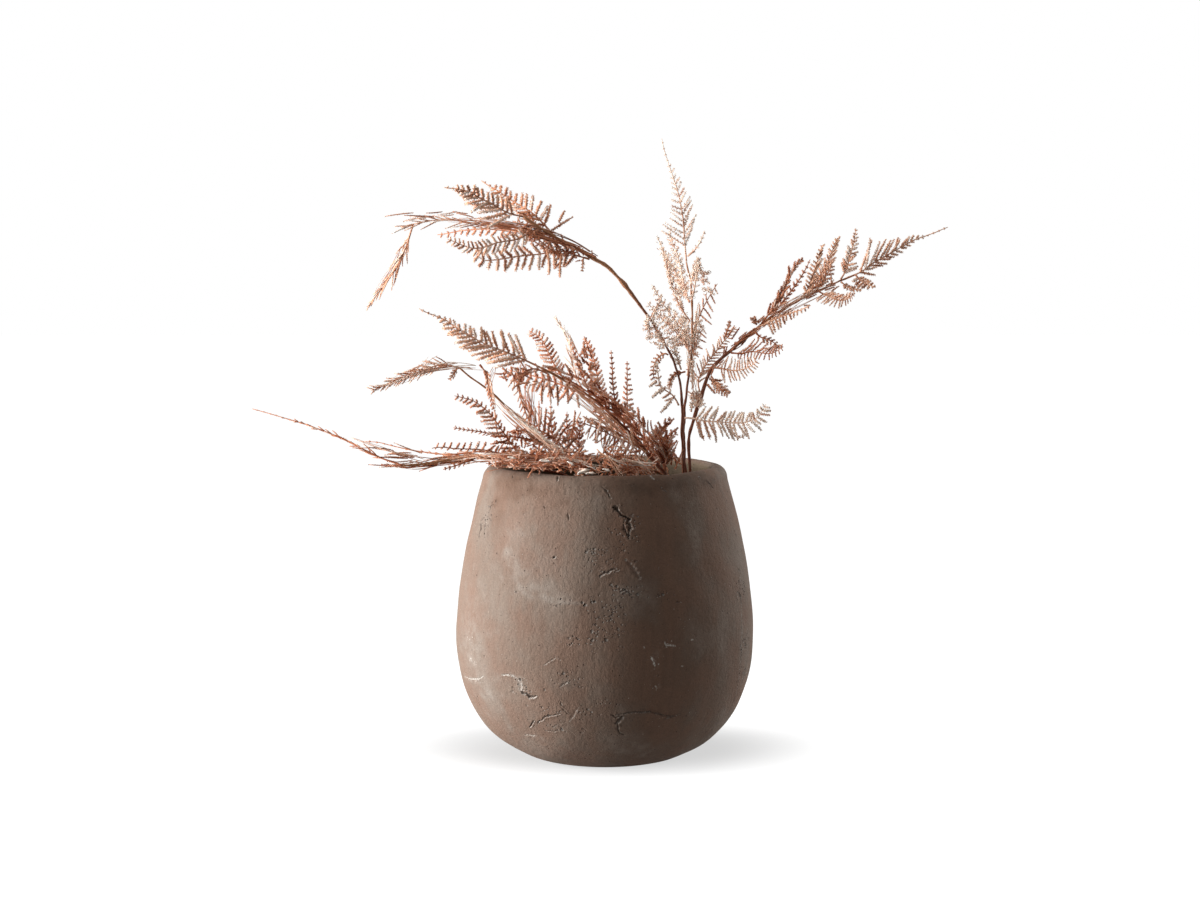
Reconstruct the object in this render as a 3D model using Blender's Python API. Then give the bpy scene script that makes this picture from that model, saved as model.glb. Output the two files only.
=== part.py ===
"""A dead fern standing in an egg-shaped clay pot.

The pot, the dry soil in it, the fern's stems and its leaves are separate closed solids. Numbers are in
millimetres here and in metres in the meshes, +Z is up, and the origin is the centre of the pot's flat foot.

The fern is laid out as its front view. A stem or leaf is a short list of points as they appear to a viewer
who stands straight in front of the pot, and a depth behind (+) or in front of (-) the pot's axis, and
sight_line() carries each point back or forward along that viewer's line of sight. A leaf is a thin central
rib with pairs of fingers: three lengths give the fingers on each side at the root, the middle and the tip.
"""
import math
from typing import NamedTuple

import bpy
import numpy as np

MM = 0.001
GAP = 0.3

# The viewer that the front view belongs to.
VIEWER = np.array((-5.0, -3000.0, 585.0))

# Pot: the belly below its widest place, the shoulder above it, the rim and the wall.
BELLY_RADIUS = 149.6
BELLY_HEIGHT = 129.4
BELLY_DEPTH = 131.4
BELLY_ROUNDNESS = 2.1
BELLY_FULLNESS = 3.1
BELLY_RINGS = 9
SHOULDER_RISE = 160.0
SHOULDER_TUCK = 28.3
SHOULDER_ROUNDNESS = 1.63
SHOULDER_TOP = 284.0
SHOULDER_RINGS = 6
RIM_HEIGHT = 297.0
RIM_CREST_RADIUS = 110.4
RIM_RINGS = 5
LIP_RADIUS = 104.3
LIP_DROP = 7.0
LIP_RINGS = 4
WALL = 13.0
FLOOR = 14.0
INNER_TOP = 274.0
INNER_LEVELS = (60.0, 110.0, 170.0, 225.0)
POT_SIDES = 44
SMOOTH_ANGLE = 50.0

SOIL_TOP = 250.0
SOIL_CLEARANCE = 0.4

STEM_SIDES = 6
STEM_STEP = 30.0
STEM_LEAST_RINGS = 6

# Leaf: its rib, the bare shares of its length at the root and the tip, and its shortest finger.
RIB_ROOT_WIDTH = 1.8
RIB_TIP_WIDTH = 1.0
RIB_ROOT_THICKNESS = 1.3
RIB_TIP_THICKNESS = 0.9
BARE_ROOT = 0.10
BARE_TIP = 0.02
SHORTEST_FINGER = 1.5

# Fineness with which curves are read between their points.
CURVE_STEPS = 12
AXIS_STEPS = 600

CLAY = ("clay", (0.25, 0.18, 0.14, 1.0), 0.85)
SOIL = ("soil", (0.06, 0.045, 0.035, 1.0), 0.95)
STALK = ("dry_stalk", (0.10, 0.045, 0.025, 1.0), 0.70)
RUST = ("rust_leaf", (0.22, 0.09, 0.05, 1.0), 0.80)
COPPER = ("copper_leaf", (0.33, 0.16, 0.09, 1.0), 0.80)
PALE = ("bleached_leaf", (0.48, 0.30, 0.22, 1.0), 0.80)


class Stem(NamedTuple):
    """A stalk: radius at its foot and end, and its (x, depth, z) points from the soil outwards."""
    name: str
    foot_radius: float
    end_radius: float
    route: tuple


class Leaf(NamedTuple):
    """A leaf: what it grows from, its pairs of fingers, and its (x, z) points from root to tip.

    depth is how far its tip lies behind (+) or in front of (-) its root. left and right are finger
    lengths at the root, the middle and the tip, seen looking along the leaf from the front, and lean is
    each side's angle to the rib.
    """
    name: str
    grows_from: str
    finish: tuple
    pairs: int
    depth: float
    left: tuple
    right: tuple
    lean: tuple
    route: tuple


class Carrier(NamedTuple):
    """A piece that leaves grow from: its axis, its radius along it, and whether it is a flat rib."""
    path: np.ndarray
    radii: np.ndarray
    flat: bool


STEMS = (
    Stem("stem_upright", 2.3, 1.1, (
        (81, 6, 250), (80, 6, 290), (79, 6, 322), (79, 6, 349), (82, 7, 372), (86, 12, 412),
        (87, 15, 442), (85, 20, 481), (81, 24, 499))),
    Stem("stem_arching", 2.4, 1.4, (
        (77, -2, 250), (78, -3, 290), (77, -5, 327), (77, -7, 357), (72, -12, 390), (58, -22, 421),
        (35, -32, 456), (7, -42, 490), (-13, -48, 504), (-40, -56, 519), (-70, -66, 536),
        (-81, -70, 544))),
    Stem("stem_right", 2.4, 1.0, (
        (86, -2, 250), (85, -1, 290), (84, 0, 322), (88, 2, 340), (96, 7, 366), (106, 13, 392),
        (124, 20, 410), (151, 32, 433), (183, 46, 456), (224, 62, 476), (240, 70, 483))),
    Stem("stem_left", 2.4, 1.2, (
        (87, -14, 250), (60, -19, 287), (45, -21, 305), (31, -24, 322), (-5, -34, 357), (-35, -44, 378),
        (-64, -54, 394))),
    Stem("stem_left_thin", 1.8, 1.0, (
        (27, -22, 250), (-20, -36, 288), (-55, -48, 316), (-85, -60, 344), (-120, -76, 374),
        (-145, -86, 393))),
    Stem("stem_trailing", 1.8, 1.1, (
        (7, -30, 250), (-35, -40, 283), (-60, -46, 291), (-85, -54, 298), (-115, -62, 303),
        (-145, -72, 304), (-175, -86, 298), (-202, -98, 296))),
)

LEAVES = (
    Leaf("leaf_upright_tip", "stem_upright", PALE, pairs=13, depth=6,
         left=(33, 12, 3), right=(31, 15, 4), lean=(52, 35),
         route=((81, 499), (79, 521), (78, 537), (76, 551), (72, 569), (64, 593), (58, 612), (56, 622))),
    Leaf("leaf_upright_left", "stem_upright", PALE, pairs=10, depth=-22,
         left=(5, 4, 1), right=(11, 11, 2), lean=(35, 28),
         route=((85, 440), (76, 453), (69, 467), (63, 489), (56, 514), (51, 526))),
    Leaf("leaf_upright_mid", "stem_upright", PALE, pairs=8, depth=26,
         left=(8, 8, 4), right=(8, 7, 3), lean=(40, 40),
         route=((85, 459), (79, 474), (75, 493), (72, 506), (67, 518), (63, 530))),
    Leaf("leaf_upright_left_low", "stem_upright", PALE, pairs=8, depth=-34,
         left=(10, 9, 2), right=(12, 9, 2), lean=(70, 45),
         route=((86, 410), (77, 427), (70, 441), (62, 451), (55, 463), (46, 477))),
    Leaf("leaf_upright_right", "stem_upright", PALE, pairs=8, depth=28,
         left=(14, 12, 3), right=(5, 17, 5), lean=(30, 85),
         route=((85, 397), (89, 417), (92, 439), (96, 450), (100, 458), (105, 467), (112, 478))),
    Leaf("leaf_arching_curl", "stem_arching", COPPER, pairs=6, depth=20,
         left=(4, 6, 5), right=(4, 5, 5), lean=(60, 60),
         route=((66, 408), (59, 408), (54, 405), (50, 399), (48, 391), (49, 382))),
    Leaf("leaf_arching_low_curl", "stem_arching", PALE, pairs=6, depth=-18,
         left=(15, 14, 4), right=(3, 4, 4), lean=(75, 50),
         route=((77, 357), (68, 366), (58, 373), (54, 378), (53, 387), (50, 400))),
    Leaf("leaf_low_right", "stem_arching", PALE, pairs=11, depth=-40,
         left=(19, 13, 4), right=(20, 20, 5), lean=(60, 66),
         route=((79, 344), (85, 344), (97, 341), (111, 340), (124, 339), (138, 339), (151, 343),
                (156, 349), (161, 358))),
    Leaf("leaf_arching_a", "stem_arching", COPPER, pairs=9, depth=-44,
         left=(20, 15, 2), right=(12, 10, 2), lean=(28, 45),
         route=((-81, 544), (-94, 547), (-104, 552), (-114, 558), (-124, 562), (-134, 569),
                (-144, 571), (-160, 573))),
    Leaf("leaf_arching_b", "stem_arching", COPPER, pairs=10, depth=30,
         left=(9, 8, 2), right=(24, 12, 2), lean=(35, 55),
         route=((-53, 525), (-65, 541), (-74, 549), (-84, 555), (-94, 561), (-104, 568), (-114, 574),
                (-123, 580))),
    Leaf("leaf_arching_c", "stem_arching", COPPER, pairs=12, depth=-28,
         left=(9, 8, 8), right=(9, 8, 8), lean=(18, 18),
         route=((-40, 519), (-75, 530), (-104, 535), (-134, 538), (-154, 541), (-174, 540),
                (-189, 537), (-204, 533))),
    Leaf("leaf_arching_c_hang", "leaf_arching_c", RUST, pairs=11, depth=26,
         left=(10, 10, 2), right=(10, 10, 2), lean=(45, 45),
         route=((-190, 535), (-199, 511), (-208, 493), (-219, 477), (-228, 465), (-238, 451))),
    Leaf("leaf_arching_d", "stem_arching", COPPER, pairs=10, depth=80,
         left=(9, 9, 3), right=(3, 3, 1), lean=(40, 30),
         route=((-57, 528), (-79, 530), (-104, 531), (-124, 532), (-144, 530), (-154, 528),
                (-167, 526))),
    Leaf("leaf_arching_e", "stem_arching", COPPER, pairs=10, depth=-36,
         left=(12, 12, 2), right=(8, 8, 3), lean=(35, 35),
         route=((-65, 532), (-77, 527), (-86, 522), (-104, 519), (-114, 516), (-124, 513), (-134, 513),
                (-144, 517), (-157, 522))),
    Leaf("leaf_arching_f", "stem_arching", COPPER, pairs=11, depth=-26,
         left=(18, 16, 3), right=(5, 14, 3), lean=(70, 40),
         route=((-15, 503), (-30, 506), (-45, 510), (-65, 507), (-85, 505), (-104, 502), (-114, 501),
                (-124, 502), (-130, 509))),
    Leaf("leaf_arching_rust", "stem_arching", RUST, pairs=7, depth=-24,
         left=(4, 4, 3), right=(5, 5, 4), lean=(60, 60),
         route=((-30, 512), (-45, 507), (-57, 514), (-70, 525), (-82, 538))),
    Leaf("leaf_right_v", "stem_right", RUST, pairs=9, depth=-30,
         left=(28, 16, 3), right=(8, 11, 3), lean=(33, 105),
         route=((124, 410), (137, 408), (146, 410), (163, 408), (170, 410), (178, 415))),
    Leaf("leaf_right_u", "stem_right", COPPER, pairs=9, depth=-42,
         left=(13, 12, 5), right=(19, 12, 4), lean=(75, 64),
         route=((108, 395), (117, 393), (128, 391), (140, 393), (147, 397), (152, 401))),
    Leaf("leaf_right_clump", "stem_right", COPPER, pairs=6, depth=-20,
         left=(10, 10, 4), right=(8, 6, 3), lean=(45, 50),
         route=((104, 386), (109, 381), (113, 374), (119, 369), (123, 366))),
    Leaf("leaf_right_up_left", "stem_right", RUST, pairs=11, depth=30,
         left=(13, 10, 3), right=(12, 9, 3), lean=(45, 50),
         route=((97, 369), (93, 381), (98, 392), (103, 401), (109, 408), (119, 421), (131, 435))),
    Leaf("leaf_right_dense", "stem_right", RUST, pairs=10, depth=-28,
         left=(10, 10, 2), right=(9, 13, 3), lean=(55, 18),
         route=((156, 437), (162, 446), (169, 455), (175, 465), (179, 473), (184, 485), (189, 495),
                (197, 501))),
    Leaf("leaf_right_knobby", "stem_right", RUST, pairs=8, depth=26,
         left=(6, 5, 1), right=(8, 5, 1), lean=(50, 40),
         route=((171, 448), (180, 464), (188, 474), (194, 483), (200, 493), (204, 502))),
    Leaf("leaf_right_fan_a", "stem_right", COPPER, pairs=8, depth=-26,
         left=(10, 7, 1), right=(9, 6, 1), lean=(70, 40),
         route=((195, 462), (202, 472), (206, 485), (211, 499), (214, 511), (217, 517))),
    Leaf("leaf_right_fan_b", "stem_right", COPPER, pairs=9, depth=24,
         left=(9, 9, 1), right=(10, 9, 1), lean=(50, 25),
         route=((202, 465), (210, 476), (214, 486), (220, 497), (225, 508), (228, 516), (231, 523))),
    Leaf("leaf_right_feather", "stem_right", COPPER, pairs=8, depth=-20,
         left=(13, 8, 1), right=(14, 10, 1), lean=(35, 45),
         route=((234, 481), (240, 492), (243, 504), (246, 514), (248, 524), (249, 533))),
    Leaf("leaf_right_x", "stem_right", RUST, pairs=9, depth=-30,
         left=(12, 12, 2), right=(12, 9, 2), lean=(38, 115),
         route=((212, 471), (223, 465), (234, 461), (242, 463), (249, 468))),
    Leaf("leaf_right_under_a", "stem_right", COPPER, pairs=5, depth=-14,
         left=(5, 4, 2), right=(5, 4, 2), lean=(40, 40),
         route=((234, 480), (242, 474), (249, 472), (255, 471))),
    Leaf("leaf_right_y", "stem_right", RUST, pairs=9, depth=-36,
         left=(4, 3, 1), right=(15, 8, 2), lean=(30, 108),
         route=((155, 435), (169, 442), (181, 447), (193, 451), (205, 456))),
    Leaf("leaf_right_tip", "stem_right", COPPER, pairs=12, depth=14,
         left=(37, 19, 2), right=(17, 10, 2), lean=(34, 33),
         route=((240, 483), (256, 490), (263, 496), (279, 505), (289, 511), (298, 516), (307, 521),
                (316, 524), (329, 529), (341, 534))),
    Leaf("leaf_right_under_b", "leaf_right_tip", COPPER, pairs=5, depth=-18,
         left=(7, 6, 1), right=(7, 8, 1), lean=(50, 110),
         route=((249, 486), (255, 480), (262, 477), (269, 474))),
    Leaf("leaf_left_tip", "stem_left", RUST, pairs=12, depth=-30,
         left=(8, 20, 3), right=(20, 15, 3), lean=(38, 62),
         route=((-64, 394), (-90, 406), (-118, 417), (-135, 426), (-149, 434), (-159, 442),
                (-171, 446), (-186, 453))),
    Leaf("leaf_left_m", "stem_left", RUST, pairs=7, depth=28,
         left=(14, 11, 3), right=(8, 9, 3), lean=(40, 30),
         route=((-39, 380), (-45, 388), (-50, 396), (-55, 406), (-60, 416), (-65, 424), (-76, 431))),
    Leaf("leaf_left_n", "stem_left", RUST, pairs=8, depth=44,
         left=(8, 7, 1), right=(8, 7, 1), lean=(30, 30),
         route=((-21, 369), (-25, 377), (-31, 392), (-34, 405), (-35, 417), (-40, 429), (-45, 437),
                (-50, 445))),
    Leaf("leaf_left_o", "stem_left", RUST, pairs=8, depth=56,
         left=(10, 9, 2), right=(8, 7, 2), lean=(25, 25),
         route=((1, 351), (-3, 367), (-8, 387), (-12, 405), (-15, 415), (-21, 425))),
    Leaf("leaf_left_p", "stem_left", RUST, pairs=9, depth=-26,
         left=(7, 6, 2), right=(7, 6, 2), lean=(28, 28),
         route=((17, 335), (11, 357), (8, 377), (7, 397), (6, 412))),
    Leaf("leaf_left_q", "stem_left", RUST, pairs=9, depth=34,
         left=(6, 5, 2), right=(11, 9, 3), lean=(28, 40),
         route=((29, 324), (24, 342), (22, 362), (22, 382), (22, 401))),
    Leaf("leaf_left_k", "stem_left", RUST, pairs=8, depth=-40,
         left=(14, 12, 4), right=(9, 9, 3), lean=(20, 40),
         route=((-55, 389), (-71, 393), (-85, 385), (-86, 372), (-81, 353), (-74, 335))),
    Leaf("leaf_left_r", "stem_left", RUST, pairs=7, depth=-44,
         left=(20, 21, 4), right=(14, 12, 2), lean=(66, 35),
         route=((37, 316), (19, 321), (5, 327), (-7, 333), (-24, 339))),
    Leaf("leaf_left_under_a", "stem_left", RUST, pairs=9, depth=26,
         left=(14, 18, 8), right=(5, 8, 4), lean=(75, 50),
         route=((-20, 365), (-35, 373), (-49, 379), (-65, 384), (-81, 388), (-97, 392))),
    Leaf("leaf_crown_a", "stem_left", RUST, pairs=7, depth=-24,
         left=(20, 16, 3), right=(16, 13, 2), lean=(32, 35),
         route=((58, 289), (59, 303), (59, 318), (56, 331), (66, 344))),
    Leaf("leaf_crown_b", "stem_left", RUST, pairs=9, depth=24,
         left=(10, 12, 4), right=(12, 12, 4), lean=(22, 24),
         route=((54, 294), (43, 316), (29, 335), (15, 350), (1, 364), (-11, 376))),
    Leaf("leaf_crown_e", "stem_left", RUST, pairs=8, depth=-64,
         left=(10, 13, 8), right=(5, 6, 3), lean=(62, 40),
         route=((59, 288), (43, 295), (25, 301), (7, 305), (-7, 307))),
    Leaf("leaf_left_under_b", "stem_left_thin", RUST, pairs=7, depth=-24,
         left=(5, 6, 3), right=(24, 28, 14), lean=(50, 72),
         route=((-39, 303), (-44, 317), (-55, 326), (-67, 332), (-80, 337))),
    Leaf("leaf_crown_c", "stem_left_thin", RUST, pairs=10, depth=-50,
         left=(8, 10, 6), right=(8, 10, 5), lean=(50, 50),
         route=((-17, 286), (-27, 298), (-47, 303), (-69, 306), (-90, 306), (-105, 305))),
    Leaf("leaf_left_thin_tip", "stem_left_thin", COPPER, pairs=9, depth=-34,
         left=(12, 10, 2), right=(16, 11, 2), lean=(50, 45),
         route=((-145, 393), (-160, 397), (-175, 394), (-190, 388), (-205, 383), (-220, 376),
                (-234, 371))),
    Leaf("leaf_left_i", "stem_left_thin", RUST, pairs=8, depth=-30,
         left=(6, 6, 2), right=(6, 6, 2), lean=(35, 35),
         route=((-60, 321), (-85, 324), (-105, 326), (-125, 330), (-140, 332), (-152, 334))),
    Leaf("leaf_left_bush", "stem_left_thin", RUST, pairs=9, depth=24,
         left=(18, 15, 2), right=(10, 8, 2), lean=(42, 42),
         route=((-21, 289), (-25, 303), (-26, 318), (-25, 332), (-25, 345))),
    Leaf("leaf_crown_d", "stem_trailing", RUST, pairs=10, depth=-50,
         left=(5, 6, 3), right=(7, 7, 3), lean=(40, 40),
         route=((-25, 279), (-15, 291), (-45, 294), (-75, 295), (-100, 297), (-120, 298))),
    Leaf("leaf_left_h", "stem_trailing", RUST, pairs=10, depth=-56,
         left=(18, 14, 2), right=(10, 10, 2), lean=(40, 40),
         route=((-75, 295), (-90, 313), (-98, 324), (-105, 334), (-115, 348), (-130, 360), (-142, 364),
                (-151, 366))),
    Leaf("leaf_left_j", "stem_trailing", RUST, pairs=10, depth=-70,
         left=(5, 5, 1), right=(6, 6, 1), lean=(35, 35),
         route=((-60, 291), (-85, 303), (-105, 308), (-125, 312), (-155, 313), (-165, 315),
                (-174, 313))),
    Leaf("leaf_trailing_tip", "stem_trailing", RUST, pairs=13, depth=30,
         left=(15, 11, 1), right=(8, 8, 1), lean=(35, 35),
         route=((-202, 296), (-225, 304), (-245, 314), (-265, 324), (-285, 332), (-298, 337),
                (-315, 342), (-335, 348), (-353, 353))),
    Leaf("leaf_trailing_thin", "stem_trailing", RUST, pairs=12, depth=26,
         left=(5, 4, 1), right=(4, 4, 1), lean=(35, 35),
         route=((-85, 298), (-105, 306), (-125, 310), (-155, 307), (-185, 310), (-210, 315),
                (-225, 319), (-241, 320))),
)


def sight_line(points):
    """Carry front-view points, given as (x, depth, z), along the viewer's line of sight to their depth."""
    points = np.asarray(points, float)
    scale = (1.0 + points[:, 1] / -VIEWER[1])[:, None]
    flat = points * (1.0, 0.0, 1.0)
    return VIEWER + (flat - VIEWER) * scale


def front_view(points):
    """Undo sight_line(): where the viewer sees points at their depth, as (x, depth, z)."""
    scale = (1.0 + points[:, 1] / -VIEWER[1])[:, None]
    shown = VIEWER + (points - VIEWER) / scale
    shown[:, 1] = points[:, 1]
    return shown


def smooth_path(points, stations):
    """Catmull-Rom curve through the points, read at the given fractions of its length."""
    points = np.asarray(points, float)
    before = 2.0 * points[0] - points[1]
    after = 2.0 * points[-1] - points[-2]
    padded = np.vstack((before, points, after))
    u = np.linspace(0.0, 1.0, CURVE_STEPS, endpoint=False)[:, None]
    pieces = []
    for a, b, c, d in zip(padded, padded[1:], padded[2:], padded[3:]):
        bend = (2 * a - 5 * b + 4 * c - d) * u ** 2 + (3 * b - a - 3 * c + d) * u ** 3
        pieces.append(0.5 * (2 * b + (c - a) * u + bend))
    curve = np.vstack(pieces + [points[-1:]])
    steps = np.linalg.norm(np.diff(curve, axis=0), axis=1)
    length = np.concatenate(((0.0,), np.cumsum(steps)))
    wanted = np.asarray(stations) * length[-1]
    return np.column_stack([np.interp(wanted, length, column) for column in curve.T])


def path_length(points):
    """Length of the straight runs through the points."""
    points = np.asarray(points, float)
    return float(np.linalg.norm(np.diff(points, axis=0), axis=1).sum())


def unit(vectors):
    """Each row scaled to length one."""
    return vectors / np.linalg.norm(vectors, axis=-1, keepdims=True)


def frames(path):
    """Tangent, right-hand side and front-facing direction at each point of a path."""
    tangent = unit(np.gradient(path, axis=0))
    side = unit(np.cross(tangent, (0.0, -1.0, 0.0)))
    front = np.cross(side, tangent)
    return tangent, side, front


def three_point(lengths, t):
    """Value at t of the smooth curve through three lengths at 0, 0.5 and 1."""
    first, middle, last = lengths
    bend = 2 * first + 2 * last - 4 * middle
    return first + (4 * middle - 3 * first - last) * t + bend * t * t


def make_material(finish):
    """Principled material for a finish, made once and shared."""
    name, colour, roughness = finish
    material = bpy.data.materials.get(name)
    if material is None:
        material = bpy.data.materials.new(name)
        material.use_nodes = True
        shader = material.node_tree.nodes["Principled BSDF"]
        shader.inputs["Base Color"].default_value = colour
        shader.inputs["Roughness"].default_value = roughness
        shader.inputs["Metallic"].default_value = 0.0
    return material


def add_object(name, vertices, faces, finish, smooth=False):
    """One named object from vertices in millimetres."""
    mesh = bpy.data.meshes.new(name)
    mesh.from_pydata((np.asarray(vertices) * MM).tolist(), [], faces)
    mesh.validate()
    if smooth:
        mesh.shade_smooth()
        mesh.set_sharp_from_angle(angle=math.radians(SMOOTH_ANGLE))
    mesh.materials.append(make_material(finish))
    piece = bpy.data.objects.new(name, mesh)
    bpy.context.collection.objects.link(piece)
    return piece


def outer_radius(height):
    """Radius of the pot's outside: an egg-shaped belly below, a gently tucked shoulder above."""
    height = np.asarray(height, float)
    below = np.clip((BELLY_HEIGHT - height) / BELLY_DEPTH, 0.0, 1.0)
    above = np.clip((height - BELLY_HEIGHT) / SHOULDER_RISE, 0.0, None)
    belly = BELLY_RADIUS * (1.0 - below ** BELLY_ROUNDNESS) ** (1.0 / BELLY_FULLNESS)
    return belly - SHOULDER_TUCK * above ** SHOULDER_ROUNDNESS


def quarter_arc(start, end, count):
    """Quarter ellipse from one (radius, height) point to another, upright at the start."""
    angle = np.linspace(0.0, math.pi / 2, count)[1:]
    radius = end[0] + (start[0] - end[0]) * np.cos(angle)
    height = start[1] + (end[1] - start[1]) * np.sin(angle)
    return list(zip(radius, height))


def wall_faces(rings, sides, first=0):
    """Four-cornered faces between the rings of a tube whose vertices start at number first."""
    faces = []
    for ring in range(rings - 1):
        low = first + ring * sides
        high = low + sides
        for k in range(sides):
            n = (k + 1) % sides
            faces.append((low + k, low + n, high + n, high + k))
    return faces


def turned_solid(profile, sides):
    """Closed solid turned about Z from (radius, height) points that run from axis to axis."""
    angles = np.arange(sides) * (2 * math.pi / sides)
    circle = np.column_stack((np.cos(angles), np.sin(angles)))
    vertices = [(0.0, 0.0, profile[0][1])]
    for radius, height in profile[1:-1]:
        vertices += [(radius * c, radius * s, height) for c, s in circle]
    vertices.append((0.0, 0.0, profile[-1][1]))
    rings = len(profile) - 2
    last = len(vertices) - 1
    top = last - sides
    faces = wall_faces(rings, sides, first=1)
    for k in range(sides):
        n = (k + 1) % sides
        faces.append((0, 1 + n, 1 + k))
        faces.append((top + k, top + n, last))
    return vertices, faces


def build_pot():
    """Egg-shaped pot: flat foot, outer wall, rounded rim, inner wall and floor."""
    belly = [BELLY_HEIGHT * u * u for u in np.linspace(0.0, 1.0, BELLY_RINGS)]
    shoulder = list(np.linspace(BELLY_HEIGHT, SHOULDER_TOP, SHOULDER_RINGS)[1:])
    outside = [(float(outer_radius(z)), z) for z in belly + shoulder]
    crest = (RIM_CREST_RADIUS, RIM_HEIGHT)
    lip = (LIP_RADIUS, RIM_HEIGHT - LIP_DROP)
    over = quarter_arc(outside[-1], crest, RIM_RINGS)
    down = quarter_arc(lip, crest, LIP_RINGS)[:-1][::-1] + [lip]
    levels = (INNER_TOP,) + INNER_LEVELS[::-1] + (FLOOR,)
    inside = [(float(outer_radius(z)) - WALL, z) for z in levels]
    profile = [(0.0, 0.0)] + outside + over + down + inside + [(0.0, FLOOR)]
    vertices, faces = turned_solid(profile, POT_SIDES)
    add_object("pot", vertices, faces, CLAY, smooth=True)


def build_soil():
    """Dry soil that fills the pot to well below the rim."""
    reach = WALL + SOIL_CLEARANCE
    levels = (FLOOR + GAP,) + INNER_LEVELS + (SOIL_TOP,)
    wall = [(float(outer_radius(z)) - reach, z) for z in levels]
    profile = [(0.0, FLOOR + GAP)] + wall + [(0.0, SOIL_TOP)]
    vertices, faces = turned_solid(profile, POT_SIDES)
    add_object("soil", vertices, faces, SOIL, smooth=True)


def build_stem(stem):
    """Round tapering stalk with a level foot on the soil."""
    route = sight_line(stem.route)
    route[0, 2] = SOIL_TOP + GAP
    count = max(STEM_LEAST_RINGS, round(path_length(route) / STEM_STEP) + 1)
    path = smooth_path(route, np.linspace(0.0, 1.0, count))
    radii = np.linspace(stem.foot_radius, stem.end_radius, count)
    _, side, front = frames(path)
    side[0] = (1.0, 0.0, 0.0)
    front[0] = (0.0, -1.0, 0.0)
    angles = np.arange(STEM_SIDES) * (2 * math.pi / STEM_SIDES)
    across = side[:, None] * np.cos(angles)[:, None] - front[:, None] * np.sin(angles)[:, None]
    rings = path[:, None] + across * radii[:, None, None]
    top = (count - 1) * STEM_SIDES
    foot_face = tuple(range(STEM_SIDES))[::-1]
    end_face = tuple(range(top, top + STEM_SIDES))
    faces = [foot_face] + wall_faces(count, STEM_SIDES) + [end_face]
    add_object(stem.name, rings.reshape(-1, 3), faces, STALK, smooth=True)
    return Carrier(path, radii, flat=False)


def leaf_route(leaf, carrier):
    """Points of a leaf's rib, with its root seated on the surface of what it grows from.

    The root is the point of the carrier's axis that the front view shows nearest to the leaf's first
    point. It is moved off the axis towards the leaf's next point, by the carrier's radius, the usual gap
    and what a slanting root reaches back. On a flat carrier, another leaf, it sits on the front or back.
    """
    knots = np.arange(len(carrier.path))
    fine = np.linspace(0.0, knots[-1], AXIS_STEPS)
    axis = np.column_stack([np.interp(fine, knots, column) for column in carrier.path.T])
    shown = front_view(axis)
    plan = np.asarray(leaf.route, float)
    nearest = int(np.argmin(np.hypot(shown[:, 0] - plan[0, 0], shown[:, 2] - plan[0, 1])))
    progress = np.concatenate(((0.0,), np.cumsum(np.linalg.norm(np.diff(plan, axis=0), axis=1))))
    depth = axis[nearest, 1] + leaf.depth * progress / progress[-1]
    route = sight_line(np.column_stack((plan[:, 0], depth, plan[:, 1])))
    along = unit(axis[min(nearest + 1, AXIS_STEPS - 1)] - axis[max(nearest - 1, 0)])
    if nearest == AXIS_STEPS - 1:
        route[0] = axis[nearest] + along * 2 * GAP
        return route
    heading = unit(route[1] - axis[nearest])
    if carrier.flat:
        heading = np.array((0.0, math.copysign(1.0, leaf.depth), 0.0))
    towards = unit(heading - along * (heading @ along))
    overhang = 0.5 * RIB_ROOT_WIDTH * abs(heading @ along)
    reach = np.interp(fine[nearest], knots, carrier.radii) + GAP + overhang
    route[0] = axis[nearest] + towards * reach
    return route


def add_point(vertices, faces, face, apex):
    """Draw a four-cornered face out into a point at apex."""
    tip = len(vertices)
    vertices.append(apex)
    for k in range(4):
        faces.append((face[k], face[(k + 1) % 4], tip))


def build_leaf(leaf, carrier):
    """Leaf as one closed solid: a flat tapering rib whose side faces draw out into pointed fingers."""
    stations = np.concatenate(((0.0,), np.linspace(BARE_ROOT, 1.0 - BARE_TIP, leaf.pairs + 1)))
    path = smooth_path(leaf_route(leaf, carrier), np.append(stations, 1.0))
    tangent, side, front = frames(path)
    rib = path[:-1]
    half_width = 0.5 * np.linspace(RIB_ROOT_WIDTH, RIB_TIP_WIDTH, len(rib))[:, None]
    half_thickness = 0.5 * np.linspace(RIB_ROOT_THICKNESS, RIB_TIP_THICKNESS, len(rib))[:, None]
    across = side[:-1] * half_width
    outward = front[:-1] * half_thickness
    corners = np.stack((rib - across + outward, rib + across + outward,
                        rib + across - outward, rib - across - outward), axis=1)
    vertices = list(corners.reshape(-1, 3))
    faces = [(3, 2, 1, 0)]
    sides = ((leaf.left, leaf.lean[0], -1.0), (leaf.right, leaf.lean[1], 1.0))
    for row in range(len(rib) - 1):
        front_left, front_right, back_right, back_left = range(4 * row, 4 * row + 4)
        faces.append((front_left, front_right, front_right + 4, front_left + 4))
        faces.append((back_right, back_left, back_left + 4, back_right + 4))
        walls = ((back_left, front_left, front_left + 4, back_left + 4),
                 (front_right, back_right, back_right + 4, front_right + 4))
        if row == 0:
            faces += walls
            continue
        middle = 0.5 * (rib[row] + rib[row + 1])
        for wall, (lengths, lean, sign) in zip(walls, sides):
            angle = math.radians(lean)
            direction = math.cos(angle) * tangent[row] + sign * math.sin(angle) * side[row]
            length = max(three_point(lengths, (row - 0.5) / leaf.pairs), SHORTEST_FINGER)
            add_point(vertices, faces, wall, middle + direction * length)
    end = len(corners) * 4 - 4
    add_point(vertices, faces, (end, end + 1, end + 2, end + 3), path[-1])
    add_object(leaf.name, vertices, faces, leaf.finish)
    return Carrier(rib, np.hypot(half_width, half_thickness)[:, 0], flat=True)


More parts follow.
